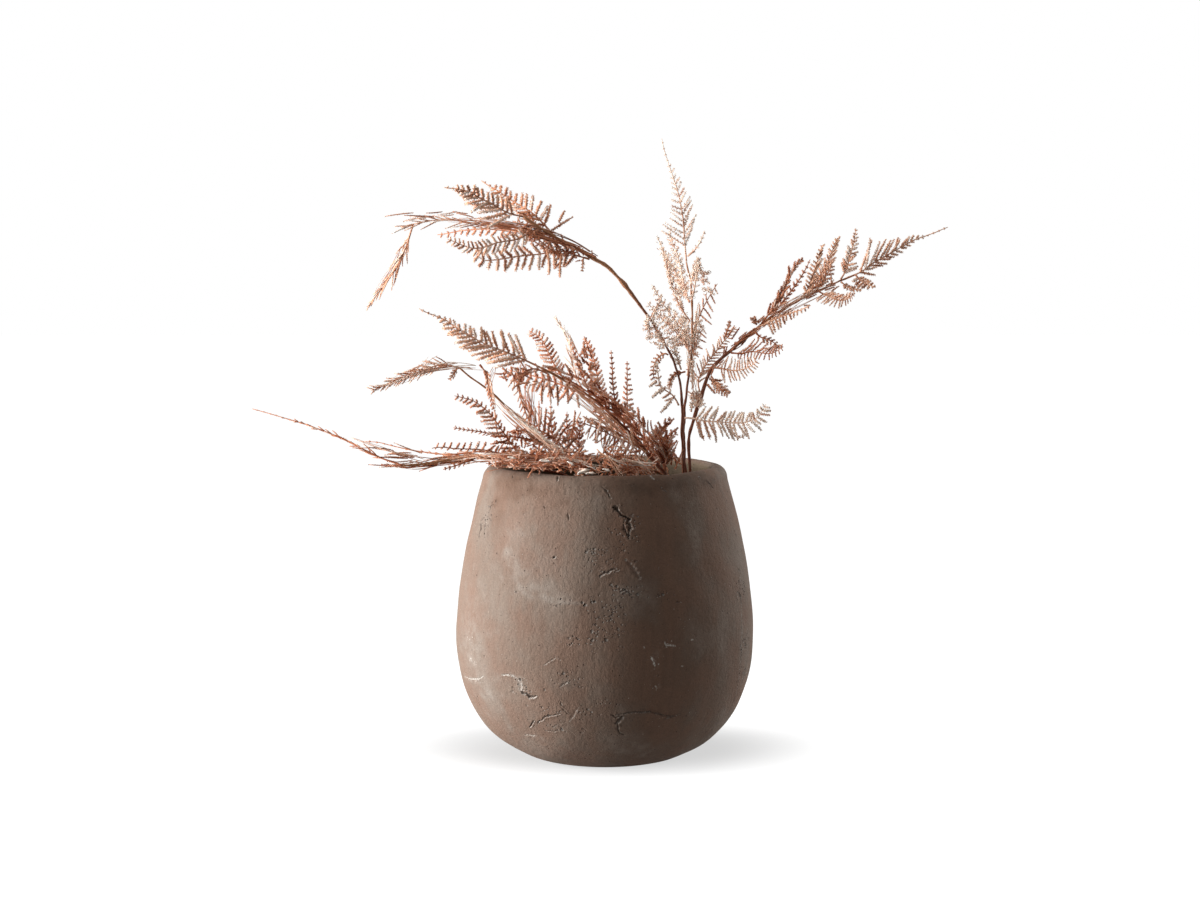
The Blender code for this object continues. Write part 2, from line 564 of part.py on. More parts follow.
def main():
    """Clear the scene and build the pot, the soil, the stems and the leaves."""
    for old in list(bpy.data.objects):
        bpy.data.objects.remove(old)
    build_pot()
    build_soil()
    carriers = {}
    for stem in STEMS:
        carriers[stem.name] = build_stem(stem)
    for leaf in LEAVES:
        carriers[leaf.name] = build_leaf(leaf, carriers[leaf.grows_from])


main()
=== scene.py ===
"""Looks of a dead fern in an egg-shaped clay pot.

Each solid of the part keeps its place and gets its fine shape and finish here: the cracked and pitted clay,
the crumbly soil, the knotted stalks, and the leaves with every finger fringed by leaflets. Thin twigs and
loose strands, too fine for the part's solids, are added among them. Sizes are in millimetres, +Z is up, the
origin is the centre of the pot's foot, and meshes are written in metres.

The fern is laid out as its front view, as it is in the part: points as they appear to a viewer straight in
front of the pot, with a depth behind (+) or in front of (-) the pot's axis.
"""

import logging
import math
from dataclasses import dataclass
from enum import Enum
from typing import Any, NamedTuple

import bmesh
import bpy
import numpy as np
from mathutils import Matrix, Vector


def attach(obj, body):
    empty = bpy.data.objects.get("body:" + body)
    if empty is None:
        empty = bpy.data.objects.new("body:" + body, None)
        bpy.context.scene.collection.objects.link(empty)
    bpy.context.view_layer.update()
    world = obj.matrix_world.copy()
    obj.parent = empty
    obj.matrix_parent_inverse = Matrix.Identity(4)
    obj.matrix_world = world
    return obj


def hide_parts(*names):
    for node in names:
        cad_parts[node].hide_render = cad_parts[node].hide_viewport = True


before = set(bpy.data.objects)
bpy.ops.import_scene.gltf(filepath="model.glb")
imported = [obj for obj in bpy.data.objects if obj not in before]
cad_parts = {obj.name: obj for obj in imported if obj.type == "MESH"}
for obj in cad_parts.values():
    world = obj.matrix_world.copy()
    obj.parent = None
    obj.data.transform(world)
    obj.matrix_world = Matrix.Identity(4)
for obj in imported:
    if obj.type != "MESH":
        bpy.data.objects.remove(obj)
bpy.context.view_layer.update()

Array = np.ndarray
Colour = tuple[float, float, float, float]
Dots = tuple[float, float, float]

MM = 0.001
GAP = 0.3
SOIL_TOP = 250.0
FINE_STEPS = 200
VIEWER = np.array((-5.0, -3000.0, 585.0))
log = logging.getLogger("dead_fern")


def paint(red: int, green: int, blue: int) -> Colour:
    """Colour as a painter mixes it, 0 to 255 a channel, turned into linear light by the standard curve.

    Args:
        red: red share of the mix.
        green: green share of the mix.
        blue: blue share of the mix.

    Returns:
        The colour with an opaque alpha.
    """
    share = np.array((red, green, blue)) / 255.0
    linear = np.where(share <= 0.04045, share / 12.92, ((share + 0.055) / 1.055) ** 2.4)
    return (float(linear[0]), float(linear[1]), float(linear[2]), 1.0)


# ---- Curves ----------------------------------------------------------------


def unit(vectors: Array) -> Array:
    """Each vector scaled to length one."""
    return vectors / np.linalg.norm(vectors, axis=-1, keepdims=True)


def sight_line(points: Any) -> Array:
    """Carry front-view points, given as (x, depth, z), along the viewer's line of sight to their depth."""
    points = np.asarray(points, float)
    scale = (1.0 + points[:, 1] / -VIEWER[1])[:, None]
    flat = points * (1.0, 0.0, 1.0)
    return VIEWER + (flat - VIEWER) * scale


def front_view(points: Array) -> Array:
    """Undo sight_line(): where the viewer sees points at their depth, as (x, depth, z)."""
    scale = (1.0 + points[:, 1] / -VIEWER[1])[:, None]
    shown = VIEWER + (points - VIEWER) / scale
    shown[:, 1] = points[:, 1]
    return shown


def smooth_path(points: Any, stations: Array) -> Array:
    """Smooth curve through points, read at some fractions of its length.

    Between two points b and c with neighbours a and d it is the Catmull-Rom cubic
    (2b + (c - a)u + (2a - 5b + 4c - d)u^2 + (3b - a - 3c + d)u^3) / 2.

    Args:
        points: the points, one row each.
        stations: fractions of the curve's length, 0 to 1.

    Returns:
        One row for each station.
    """
    steps_between = 12
    points = np.asarray(points, float)
    before = 2.0 * points[0] - points[1]
    after = 2.0 * points[-1] - points[-2]
    padded = np.vstack((before, points, after))
    u = np.linspace(0.0, 1.0, steps_between, endpoint=False)[:, None]
    pieces = []
    for a, b, c, d in zip(padded, padded[1:], padded[2:], padded[3:]):
        bend = (2 * a - 5 * b + 4 * c - d) * u ** 2 + (3 * b - a - 3 * c + d) * u ** 3
        pieces.append(0.5 * (2 * b + (c - a) * u + bend))
    curve = np.vstack(pieces + [points[-1:]])
    return read_path(curve, stations)


def read_path(curve: Array, stations: Array) -> Array:
    """Points of a fine polyline at some fractions of its length."""
    length = path_lengths(curve)
    wanted = np.asarray(stations) * length[-1]
    return np.column_stack([np.interp(wanted, length, column) for column in curve.T])


def path_lengths(curve: Array) -> Array:
    """Length along a polyline up to each of its points."""
    steps = np.linalg.norm(np.diff(curve, axis=0), axis=1)
    return np.concatenate(((0.0,), np.cumsum(steps)))


def frames(path: Array, facing: tuple[float, float, float] = (0.0, -1.0, 0.0)) -> tuple[Array, Array, Array]:
    """Direction, right-hand side and outward face at each point of one path or of a stack of paths."""
    tangent = unit(np.gradient(path, axis=-2))
    side = unit(np.cross(tangent, facing))
    return tangent, side, np.cross(side, tangent)


def three_point(lengths: tuple[float, float, float], t: Array) -> Array:
    """Value at t of the parabola through three lengths at 0, 0.5 and 1."""
    first, middle, last = lengths
    bend = 2 * first + 2 * last - 4 * middle
    return first + (4 * middle - 3 * first - last) * t + bend * t * t


def ease(value: Array, low: float, high: float) -> Array:
    """Smooth step from 0 at low to 1 at high."""
    t = np.clip((value - low) / (high - low), 0.0, 1.0)
    return t * t * (3.0 - 2.0 * t)


class Ripple:
    """Even, repeatable unevenness: a sum of plane waves in scattered directions, about -1 to 1."""

    def __init__(self, wavelength: float, seed: int, waves: int = 9) -> None:
        """Choose the waves.

        Args:
            wavelength: middle wavelength in millimetres.
            seed: which set of waves.
            waves: how many waves are added up.
        """
        chance = np.random.default_rng(seed)
        heading = unit(chance.normal(size=(waves, 3)))
        stretch = chance.uniform(0.6, 1.6, waves)
        self.waves = heading * (2 * math.pi / (wavelength * stretch))[:, None]
        self.phases = chance.uniform(0.0, 2 * math.pi, waves)

    def __call__(self, points: Array) -> Array:
        """Height of the waves at each point."""
        return np.sin(points @ self.waves.T + self.phases).sum(axis=-1) / math.sqrt(len(self.phases))


# ---- Meshes ----------------------------------------------------------------


class Shell:
    """Closed shapes gathered into one mesh, with a tone and a reach at every vertex.

    The tone is a shape's own shade, 0 dark to 1 pale. The reach runs from 0 where a shape grows out of its
    carrier to 1 at its free end.
    """

    tube_front = (0.08, -1.0, 0.05)

    def __init__(self) -> None:
        """Start empty."""
        self.points: list[Array] = []
        self.triangles: list[Array] = []
        self.tones: list[Array] = []
        self.reaches: list[Array] = []
        self.count = 0

    def add(self, points: Array, triangles: Array, tone: Array, reach: Array) -> None:
        """Add copies of one shape.

        Args:
            points: vertices, copies x vertices x 3.
            triangles: the shape's own faces, used for every copy.
            tone: shade of each copy, or of each vertex of each copy.
            reach: reach of each vertex.
        """
        copies, vertices = points.shape[:2]
        first = self.count + np.arange(copies)[:, None, None] * vertices
        self.points.append(points.reshape(-1, 3))
        self.triangles.append((triangles[None] + first).reshape(-1, 3))
        tone = np.asarray(tone, float).reshape(copies, -1)
        self.tones.append(np.broadcast_to(tone, (copies, vertices)).ravel())
        self.reaches.append(np.broadcast_to(reach, (copies, vertices)).ravel())
        self.count += copies * vertices

    def add_tubes(self, paths: Array, radii: Array, sides: int, tone: Array) -> None:
        """Add round tubes that close in a point at both ends.

        A vertex is path(s) + radius(s) * (cos(a) * side(s) - sin(a) * front(s)). The front faces the viewer,
        a little askew, so that no centre line runs along it.

        Args:
            paths: centre lines, copies x stations x 3.
            radii: radius at each station, for all copies or for each.
            sides: corners round a tube.
            tone: shade of each copy.
        """
        copies, rings = paths.shape[:2]
        _, side, front = frames(paths, facing=self.tube_front)
        angles = np.arange(sides) * (2 * math.pi / sides)
        across = side[:, :, None] * np.cos(angles)[:, None] - front[:, :, None] * np.sin(angles)[:, None]
        radii = np.broadcast_to(radii, (copies, rings))
        walls = paths[:, :, None] + across * radii[:, :, None, None]
        points = np.concatenate((walls.reshape(copies, -1, 3), paths[:, :1], paths[:, -1:]), axis=1)
        along = np.linspace(0.0, 1.0, rings)
        reach = np.concatenate((np.repeat(along, sides), (0.0, 1.0)))
        self.add(points, tube_faces(rings, sides), tone, reach)

    def add_lobes(self, roots: Array, along: Array, across: Array, sizes: Array, tone: Array,
                  cup: float = 0.12, rings: tuple[tuple[float, float], ...] = ((0.36, 1.0), (0.80, 0.72)),
                  ) -> None:
        """Add small closed leaflets: pointed at the root, full in the middle and blunt at the tip.

        A leaflet has four-cornered rings between its end points. Its middle line rises by
        cup * length * (2a - 1)^2 at the fraction a of its length, so that it is cupped like a dry scale.

        Args:
            roots: where each leaflet starts.
            along: unit direction from its root to its tip.
            across: unit direction across its blade.
            sizes: length, width and thickness of each.
            tone: shade of each.
            cup: how far its ends curl up, as a share of its length.
            rings: each ring's place along the leaflet and its share of the full width.
        """
        up = np.cross(along, across)
        places, widths = np.array(rings).T
        stations = np.concatenate(((0.0,), places, (1.0,)))
        length = sizes[:, 0, None, None]
        rise = up[:, None] * (cup * (2.0 * stations - 1.0) ** 2)[:, None]
        spine = roots[:, None] + (along[:, None] * stations[:, None] + rise) * length
        half_width = 0.5 * across[:, None] * sizes[:, 1, None, None] * widths[:, None]
        half_thickness = 0.5 * up[:, None] * sizes[:, 2, None, None] * widths[:, None]
        middle = spine[:, 1:-1]
        ring = np.stack((middle - half_width, middle - half_thickness,
                         middle + half_width, middle + half_thickness), axis=2)
        points = np.concatenate((ring.reshape(len(roots), -1, 3), spine[:, :1], spine[:, -1:]), axis=1)
        reach = np.concatenate((np.repeat(places, 4), (0.0, 1.0)))
        self.add(points, tube_faces(len(places), 4), tone, reach)

    def piece(self, name: str, material: bpy.types.Material, slot: str,
              replaces: tuple[str, ...] = ()) -> bpy.types.Object:
        """Make the gathered shapes one object that rides on the part.

        Args:
            name: name of the object.
            material: its finish.
            slot: material slot of the part's record that the finish belongs to; not used.
            replaces: solids of the part that the object stands for.

        Returns:
            The new object.
        """
        points = np.concatenate(self.points)
        triangles = np.concatenate(self.triangles)
        mesh = mesh_from_arrays(name, points, triangles)
        add_attribute(mesh, "tone", np.concatenate(self.tones))
        add_attribute(mesh, "reach", np.concatenate(self.reaches))
        return place(mesh, material, slot, replaces)


def tube_faces(rings: int, sides: int) -> Array:
    """Triangles of a tube: its wall, then a fan at the root and a fan at the end."""
    ring, k = np.meshgrid(np.arange(rings - 1), np.arange(sides), indexing="ij")
    n = (k + 1) % sides
    low, low_n = ring * sides + k, ring * sides + n
    high, high_n = low + sides, low_n + sides
    wall = np.concatenate((np.stack((low, low_n, high_n), -1).reshape(-1, 3),
                           np.stack((low, high_n, high), -1).reshape(-1, 3)))
    k = np.arange(sides)
    n = (k + 1) % sides
    root = np.full(sides, rings * sides)
    top = (rings - 1) * sides
    root_fan = np.stack((root, n, k), -1)
    end_fan = np.stack((root + 1, top + k, top + n), -1)
    return np.concatenate((wall, root_fan, end_fan))


def mesh_from_arrays(name: str, points: Array, triangles: Array) -> bpy.types.Mesh:
    """Smooth-shaded mesh from vertices in millimetres and triangles."""
    mesh = bpy.data.meshes.new(name)
    mesh.vertices.add(len(points))
    mesh.vertices.foreach_set("co", (points * MM).astype(np.float32).ravel())
    mesh.loops.add(triangles.size)
    mesh.loops.foreach_set("vertex_index", triangles.astype(np.int32).ravel())
    mesh.polygons.add(len(triangles))
    mesh.polygons.foreach_set("loop_start", np.arange(0, triangles.size, 3, dtype=np.int32))
    mesh.update(calc_edges=True)
    mesh.shade_smooth()
    return mesh


def add_attribute(mesh: bpy.types.Mesh, name: str, values: Array) -> None:
    """Store one number at each vertex of a mesh."""
    attribute = mesh.attributes.new(name, "FLOAT", "POINT")
    attribute.data.foreach_set("value", values.astype(np.float32))


def place(mesh: bpy.types.Mesh, material: bpy.types.Material, slot: str,
          replaces: tuple[str, ...] = ()) -> bpy.types.Object:
    """Put a finished mesh into the scene as a piece of the part."""
    mesh.materials.append(material)
    piece = bpy.data.objects.new(mesh.name, mesh)
    bpy.context.scene.collection.objects.link(piece)
    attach(piece, "root")
    if replaces:
        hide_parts(*replaces)
    log.info("%s: %d faces", piece.name, len(mesh.polygons))
    return piece


# ---- Materials -------------------------------------------------------------


class Value:
    """A number that changes over a surface. Python arithmetic on it adds Math nodes."""

    def __init__(self, shader: "Shader", socket: bpy.types.NodeSocket) -> None:
        """Wrap one output socket of a shader."""
        self.shader = shader
        self.socket = socket

    def _math(self, operation: str, *operands: "Value | float") -> "Value":
        """Add one Math node over the operands."""
        node = self.shader.node("Math", {"operation": operation}, dict(enumerate(operands)))
        return Value(self.shader, node.outputs[0])

    def __add__(self, other: "Value | float") -> "Value":
        """Sum."""
        return self._math("ADD", self, other)

    def __sub__(self, other: "Value | float") -> "Value":
        """Difference."""
        return self._math("SUBTRACT", self, other)

    def __rsub__(self, other: float) -> "Value":
        """Difference from a number."""
        return self._math("SUBTRACT", other, self)

    def __mul__(self, other: "Value | float") -> "Value":
        """Product."""
        return self._math("MULTIPLY", self, other)

    __radd__ = __add__

    def step(self, low: float, high: float) -> "Value":
        """Smooth step from 0 at low to 1 at high."""
        settings = {"interpolation_type": "SMOOTHSTEP"}
        node = self.shader.node("MapRange", settings,
                                {"Value": self, "From Min": low, "From Max": high})
        return Value(self.shader, node.outputs["Result"])


class Nodes:
    """The nodes of one material or of the world."""

    def __init__(self, owner: bpy.types.Material | bpy.types.World) -> None:
        """Turn the owner's nodes on."""
        self.owner = owner
        self.owner.use_nodes = True
        self.tree = owner.node_tree

    def node(self, kind: str, settings: dict[str, Any] | None = None,
             inputs: dict[str | int, Any] | None = None) -> bpy.types.Node:
        """Add a node.

        Args:
            kind: type of the node, without the "ShaderNode" before it.
            settings: its properties, set before its sockets.
            inputs: values or links of its sockets, by name or number.

        Returns:
            The node.
        """
        node = self.tree.nodes.new("ShaderNode" + kind)
        for key, setting in (settings or {}).items():
            setattr(node, key, setting)
        for key, value in (inputs or {}).items():
            value = value.socket if isinstance(value, Value) else value
            if isinstance(value, bpy.types.NodeSocket):
                self.tree.links.new(value, node.inputs[key])
            else:
                node.inputs[key].default_value = value
        return node

    def looked_at(self) -> bpy.types.NodeSocket:
        """1 for what the camera and glossy surfaces see, 0 for all other light."""
        rays = self.node("LightPath")
        inputs = {0: rays.outputs["Is Camera Ray"], 1: rays.outputs["Is Glossy Ray"]}
        return self.node("Math", {"operation": "MAXIMUM"}, inputs).outputs[0]


class Shader(Nodes):
    """One material's nodes: a Principled surface and what feeds it."""

    specular = 0.1
    fray_size = 1.6
    fray_reach = 2.2
    dot_core = 0.4

    def __init__(self, name: str, roughness: float) -> None:
        """Start a material with a plain rough surface."""
        super().__init__(bpy.data.materials.new(name))
        self.material = self.owner
        self.surface = self.tree.nodes["Principled BSDF"]
        self.surface.inputs["Roughness"].default_value = roughness
        self.surface.inputs["Specular IOR Level"].default_value = self.specular
        self.place = self.node("TexCoord").outputs["Object"]

    def attribute(self, name: str) -> Value:
        """A number stored at the mesh's vertices."""
        node = self.node("Attribute", {"attribute_name": name})
        return Value(self, node.outputs["Fac"])

    def stretched(self, scale: tuple[float, float, float],
                  shift: tuple[float, float, float] = (0.0, 0.0, 0.0)) -> bpy.types.NodeSocket:
        """Object coordinates scaled along each axis, then shifted by so many millimetres."""
        inputs = {"Vector": self.place, "Scale": scale, "Location": tuple(step * MM for step in shift)}
        return self.node("Mapping", None, inputs).outputs[0]

    def frayed(self, shift: tuple[float, float, float]) -> bpy.types.NodeSocket:
        """Coordinates for dots, shaken by fine noise so that round shapes come out irregular."""
        inputs = {"Vector": self.place, "Scale": 1.0 / (self.fray_size * MM), "Detail": 2.0}
        shake = self.node("TexNoise", None, inputs).outputs["Color"]
        reach = (self.fray_reach * MM,) * 3
        inputs = {0: shake, 1: reach, 2: self.stretched((1.0, 1.0, 1.0), shift)}
        return self.node("VectorMath", {"operation": "MULTIPLY_ADD"}, inputs).outputs[0]

    def noise(self, size: float, detail: float = 2.0, place: bpy.types.NodeSocket | None = None,
              rough: float = 0.5) -> Value:
        """Cloudy noise, 0 to 1, with blots of the given size in millimetres."""
        inputs = {"Vector": place or self.place, "Scale": 1.0 / (size * MM), "Detail": detail,
                  "Roughness": rough}
        return Value(self, self.node("TexNoise", None, inputs).outputs["Fac"])

    def dots(self, spacing: float, radius: float, share: float, place: bpy.types.NodeSocket | None = None,
             ) -> Value:
        """Scattered round dots, 1 inside and 0 outside.

        Each cell of a Voronoi pattern has a dot at its centre where the cell's own random number is under
        the share.

        Args:
            spacing: mean distance between the cells in millimetres.
            radius: radius of the dots in millimetres.
            share: share of the cells that have a dot.
            place: coordinates of the pattern.

        Returns:
            The dots' mask.
        """
        inputs = {"Vector": place or self.place, "Scale": 1.0 / (spacing * MM)}
        cells = self.node("TexVoronoi", None, inputs)
        split = self.node("SeparateColor", None, {"Color": cells.outputs["Color"]})
        edge = radius / spacing
        inside = 1.0 - Value(self, cells.outputs["Distance"]).step(self.dot_core * radius / spacing, edge)
        chosen = 1.0 - Value(self, split.outputs[0]).step(share, share + 0.02)
        return inside * chosen

    def mix(self, share: Value, first: Any, second: Any) -> bpy.types.NodeSocket:
        """Colour that runs from the first to the second as the share goes from 0 to 1."""
        inputs = {"Factor": share, 6: first, 7: second}
        return self.node("Mix", {"data_type": "RGBA"}, inputs).outputs[2]

    def bump(self, height: Value) -> None:
        """Raise the surface by a height in millimetres."""
        node = self.node("Bump", None, {"Height": height, "Distance": MM, "Strength": 1.0})
        self.tree.links.new(node.outputs[0], self.surface.inputs["Normal"])

    def colour(self, colour: bpy.types.NodeSocket) -> None:
        """Give the surface its colour."""
        self.tree.links.new(colour, self.surface.inputs["Base Color"])

    def roughness(self, roughness: Value) -> None:
        """Give the surface its roughness."""
        self.tree.links.new(roughness.socket, self.surface.inputs["Roughness"])


@dataclass(frozen=True)
class ClayFinish:
    """Unglazed clay: warm and grey patches, pale bloom, brushed streaks, pinholes, salt and dark cracks.

    Dots are given as their spacing, their radius and the share of places that have one. Pale dots beside
    the pits and pores, shifted towards the light, are painted highlights; the pits, pores, pinholes and
    cracks are painted dark as painted shade. The sides are painted paler as painted sheen, and a band along
    the rim's front darker as painted shade. Some stains under the rim are partly painted shade.
    """

    body: Colour = paint(106, 86, 73)
    warm: Colour = paint(113, 88, 73)
    streak: Colour = paint(98, 78, 66)
    # pale and dusky are the painted sheen on the pot's sides.
    pale: Colour = paint(133, 117, 105)
    dusky: Colour = paint(134, 110, 96)
    bloom: Colour = paint(156, 145, 135)
    deep: Colour = paint(41, 31, 25)
    salt: Colour = paint(214, 208, 200)
    inside: Colour = paint(112, 98, 81)
    roughness: float = 0.8
    patch_size: float = 40.0
    streak_size: float = 7.0
    streak_squeeze: float = 0.06
    blotch_size: float = 9.0
    dent_size: float = 4.0
    grain_size: float = 1.4
    pinhole: Dots = (7.0, 0.70, 0.45)
    small_pit: Dots = (3.3, 1.0, 0.8)
    large_pit: Dots = (6.0, 1.8, 0.5)
    pore: Dots = (4.2, 0.5, 0.5)
    # Pale dots beside the pits and pores, shifted towards the light: painted highlights.
    small_pit_highlight: Dots = (3.3, 0.9, 0.8)
    large_pit_highlight: Dots = (6.0, 1.7, 0.5)
    pore_highlight: Dots = (4.2, 0.45, 0.5)
    highlight_shift: tuple[float, float, float] = (-0.75, 0.0, 0.35)
    salt_fleck: Dots = (8.0, 0.5, 0.28)
    salt_grain: Dots = (2.6, 0.75, 0.6)

    def material(self) -> bpy.types.Material:
        """Make the finish."""
        shader = Shader("cracked_clay", self.roughness)
        groove_shade = shader.attribute("groove_shade")
        salt = shader.attribute("salt")
        patches = shader.noise(self.patch_size, 4.0, shader.stretched((1.0, 1.0, 0.7)))
        streaks = shader.noise(self.streak_size, 3.0, shader.stretched((1.0, 1.0, self.streak_squeeze)))
        grain = shader.noise(self.grain_size, 2.0)
        blotches = shader.noise(self.blotch_size, 4.0, rough=0.65)
        here = shader.frayed((0.0, 0.0, 0.0))
        # Coordinates shifted towards the light, for the painted highlights beside the pits and pores.
        edges = shader.frayed(self.highlight_shift)
        pinholes = shader.dots(*self.pinhole, here)
        pitted = shader.attribute("pitted").step(0.12, 0.45)
        pits = (shader.dots(*self.small_pit, here) + shader.dots(*self.large_pit, here)) * pitted
        pit_highlights = (shader.dots(*self.small_pit_highlight, edges) + shader.dots(*self.large_pit_highlight, edges)) * pitted
        pores = shader.dots(*self.pore, here)
        pore_highlights = shader.dots(*self.pore_highlight, edges)
        dents = shader.noise(self.dent_size, 3.0, shader.stretched((1.0, 1.0, 0.8)), 0.7)
        flecks = shader.dots(*self.salt_fleck, shader.stretched((1.1, 1.0, 0.9)))
        chalk = shader.attribute("chalk")
        grains = shader.dots(*self.salt_grain, here) * chalk.step(0.10, 0.45)
        dust = blotches.step(0.52, 0.66) * chalk * 0.16
        bloom = shader.attribute("bloom") + patches.step(0.52, 0.80) * 0.5
        colour = shader.mix(patches.step(0.38, 0.62), self.warm, self.body)
        colour = shader.mix(streaks.step(0.42, 0.70) * 0.35, colour, self.streak)
        # Painted sheen: the pot's sides are painted paler, but for a strip at the front that stays darker as
        # painted shade.
        bleached = shader.mix((patches * 0.85 + streaks * 0.15).step(0.36, 0.62), self.dusky, self.pale)
        colour = shader.mix(shader.attribute("painted_sheen") * (streaks * 0.3 + 0.85), colour, bleached)
        # Stains, with painted shade: the patches under the rim at the front left are partly shade cast by the
        # foliage above.
        colour = shader.mix(shader.attribute("shade_stain"), colour, self.warm)
        colour = shader.mix(bloom * blotches.step(0.22, 0.62) * 0.8, colour, self.bloom)
        colour = shader.mix(shader.attribute("inside"), colour, self.inside)
        # Painted shade: a darker band along the front of the rim.
        colour = shader.mix(shader.attribute("painted_rim_shade") * 0.5, colour, self.deep)
        colour = shader.mix(grain.step(0.30, 0.85) * 0.22, colour, self.deep)
        whitened = salt * grain.step(0.36, 0.50) * 0.95 + flecks * 0.6 + grains * 0.95 + dust
        colour = shader.mix(whitened, colour, self.salt)
        # Painted highlights: pale dots on the lit edges of the pits and pores.
        colour = shader.mix(pit_highlights * 0.40 + pore_highlights * 0.25, colour, self.salt)
        # Cracks, pinholes, pits and pores painted dark: painted shade in the hollows, in the cracks moved to
        # the wall away from the light.
        colour = shader.mix(groove_shade * 0.75 + pinholes * 0.7 + pits * 0.55 + pores * 0.45, colour, self.deep)
        shader.colour(colour)
        shader.roughness(self.roughness + bloom * 0.1 + groove_shade * 0.1)
        swell = streaks * 0.15 + grain * 0.2 + blotches * 0.35 + dents * 1.0
        shader.bump(swell - pinholes * 1.4 - pits * 2.4 - pores * 1.2)
        return shader.material


@dataclass(frozen=True)
class SoilFinish:
    """Dry potting soil: dark crumbs with paler dusty ones."""

    damp: Colour = paint(48, 37, 30)
    dusty: Colour = paint(104, 87, 73)
    roughness: float = 0.95

    def material(self) -> bpy.types.Material:
        """Make the finish."""
        shader = Shader("dry_soil", self.roughness)
        crumbs = shader.noise(2.2, 4.0, rough=0.7)
        shade = shader.attribute("tone") * 0.5 + crumbs.step(0.35, 0.75) * 0.5
        shader.colour(shader.mix(shade, self.damp, self.dusty))
        shader.bump(crumbs * 1.2)
        return shader.material


@dataclass(frozen=True)
class StalkFinish:
    """Dry stalk: dark red-brown at its foot, paler and greyer at its end, with fibres along it."""

    foot: Colour = paint(118, 70, 52)
    end: Colour = paint(168, 118, 86)
    fibre: Colour = paint(222, 172, 140)
    roughness: float = 0.6

    def material(self) -> bpy.types.Material:
        """Make the finish."""
        shader = Shader("dry_stalk", self.roughness)
        fibres = shader.noise(0.9, 3.0, shader.stretched((1.0, 1.0, 0.12)))
        flecks = shader.noise(3.0, 3.0)
        colour = shader.mix(shader.attribute("reach").step(0.52, 0.72), self.foot, self.end)
        colour = shader.mix(fibres.step(0.52, 0.80) * 0.6, colour, self.fibre)
        colour = shader.mix(flecks.step(0.60, 0.80) * 0.5, colour, self.foot)
        shader.colour(colour)
        shader.bump(fibres * 0.35 + flecks * 0.2)
        return shader.material


@dataclass(frozen=True)
class FoliageFinish:
    """Withered foliage: each leaflet has its own shade from dark through its own colour to pale."""

    name: str
    slot: str
    dark: Colour
    middle: Colour
    pale: Colour
    roughness: float = 0.7

    def material(self) -> bpy.types.Material:
        """Make the finish, or return it where it is made already."""
        made = bpy.data.materials.get(self.name)
        if made is not None:
            return made
        shader = Shader(self.name, self.roughness)
        mottle = shader.noise(1.6, 2.0)
        patches = shader.noise(22.0, 2.0)
        shade = shader.attribute("tone") + (mottle - 0.5) * 0.7 + (patches - 0.5) * 0.6
        shade = shade + (shader.attribute("reach") - 0.5) * 0.25
        colour = shader.mix(shade.step(0.10, 0.50), self.dark, self.middle)
        colour = shader.mix(shade.step(0.55, 0.95), colour, self.pale)
        shader.colour(colour)
        shader.bump(mottle * 0.3)
        return shader.material


RUST = FoliageFinish("rust_foliage", "rust_leaf", paint(140, 78, 54), paint(212, 143, 108),
                     paint(240, 208, 188))
COPPER = FoliageFinish("copper_foliage", "copper_leaf", paint(148, 92, 66), paint(224, 163, 128),
                       paint(245, 220, 202))
# A lighter copy of the copper finish, for leaves that get little of the lamps' light: painted light.
COPPER_PAINTED_LIGHTER = FoliageFinish("copper_foliage_painted_lighter", "copper_leaf", paint(176, 122, 96), paint(248, 196, 163),
                      paint(252, 232, 215))
PALE = FoliageFinish("bleached_foliage", "bleached_leaf", paint(210, 158, 132), paint(254, 228, 206),
                     paint(254, 245, 235))


# ---- Pot -------------------------------------------------------------------


@dataclass(frozen=True)
class Mark:
    """A line of damage in the clay: a crack, a scar or, with a single point, a pit.

    The line's points are (degrees round from the front, to the right; height). A groove of the given width
    and depth runs along it, ragged sideways, with a lip raised beside it and salt on its edges. The groove is
    painted dark by its dark share, most on its shaded near side: painted shade. Its lit far edge gets a
    painted highlight as well as its salt.
    """

    line: tuple[tuple[float, float], ...]
    width: float
    depth: float
    lip: float = 0.0
    salt: float = 0.0
    dark: float = 1.0
    ragged: float = 0.5

    def cut_reach(self) -> float:
        """How far from its line the wall is cut finer."""
        return 1.9 * self.width + 0.8

    def felt_reach(self) -> float:
        """How far from its line it moves or marks the wall."""
        return 4.0 * self.width


@dataclass(frozen=True)
class Patch:
    """A stretch of wall that has weathered its own way, strongest in its middle and fading out round it.

    Its middle is at an angle in degrees and a height. It fades over so many degrees and millimetres.
    """

    angle: float
    height: float
    half_angle: float
    half_height: float
    strength: float


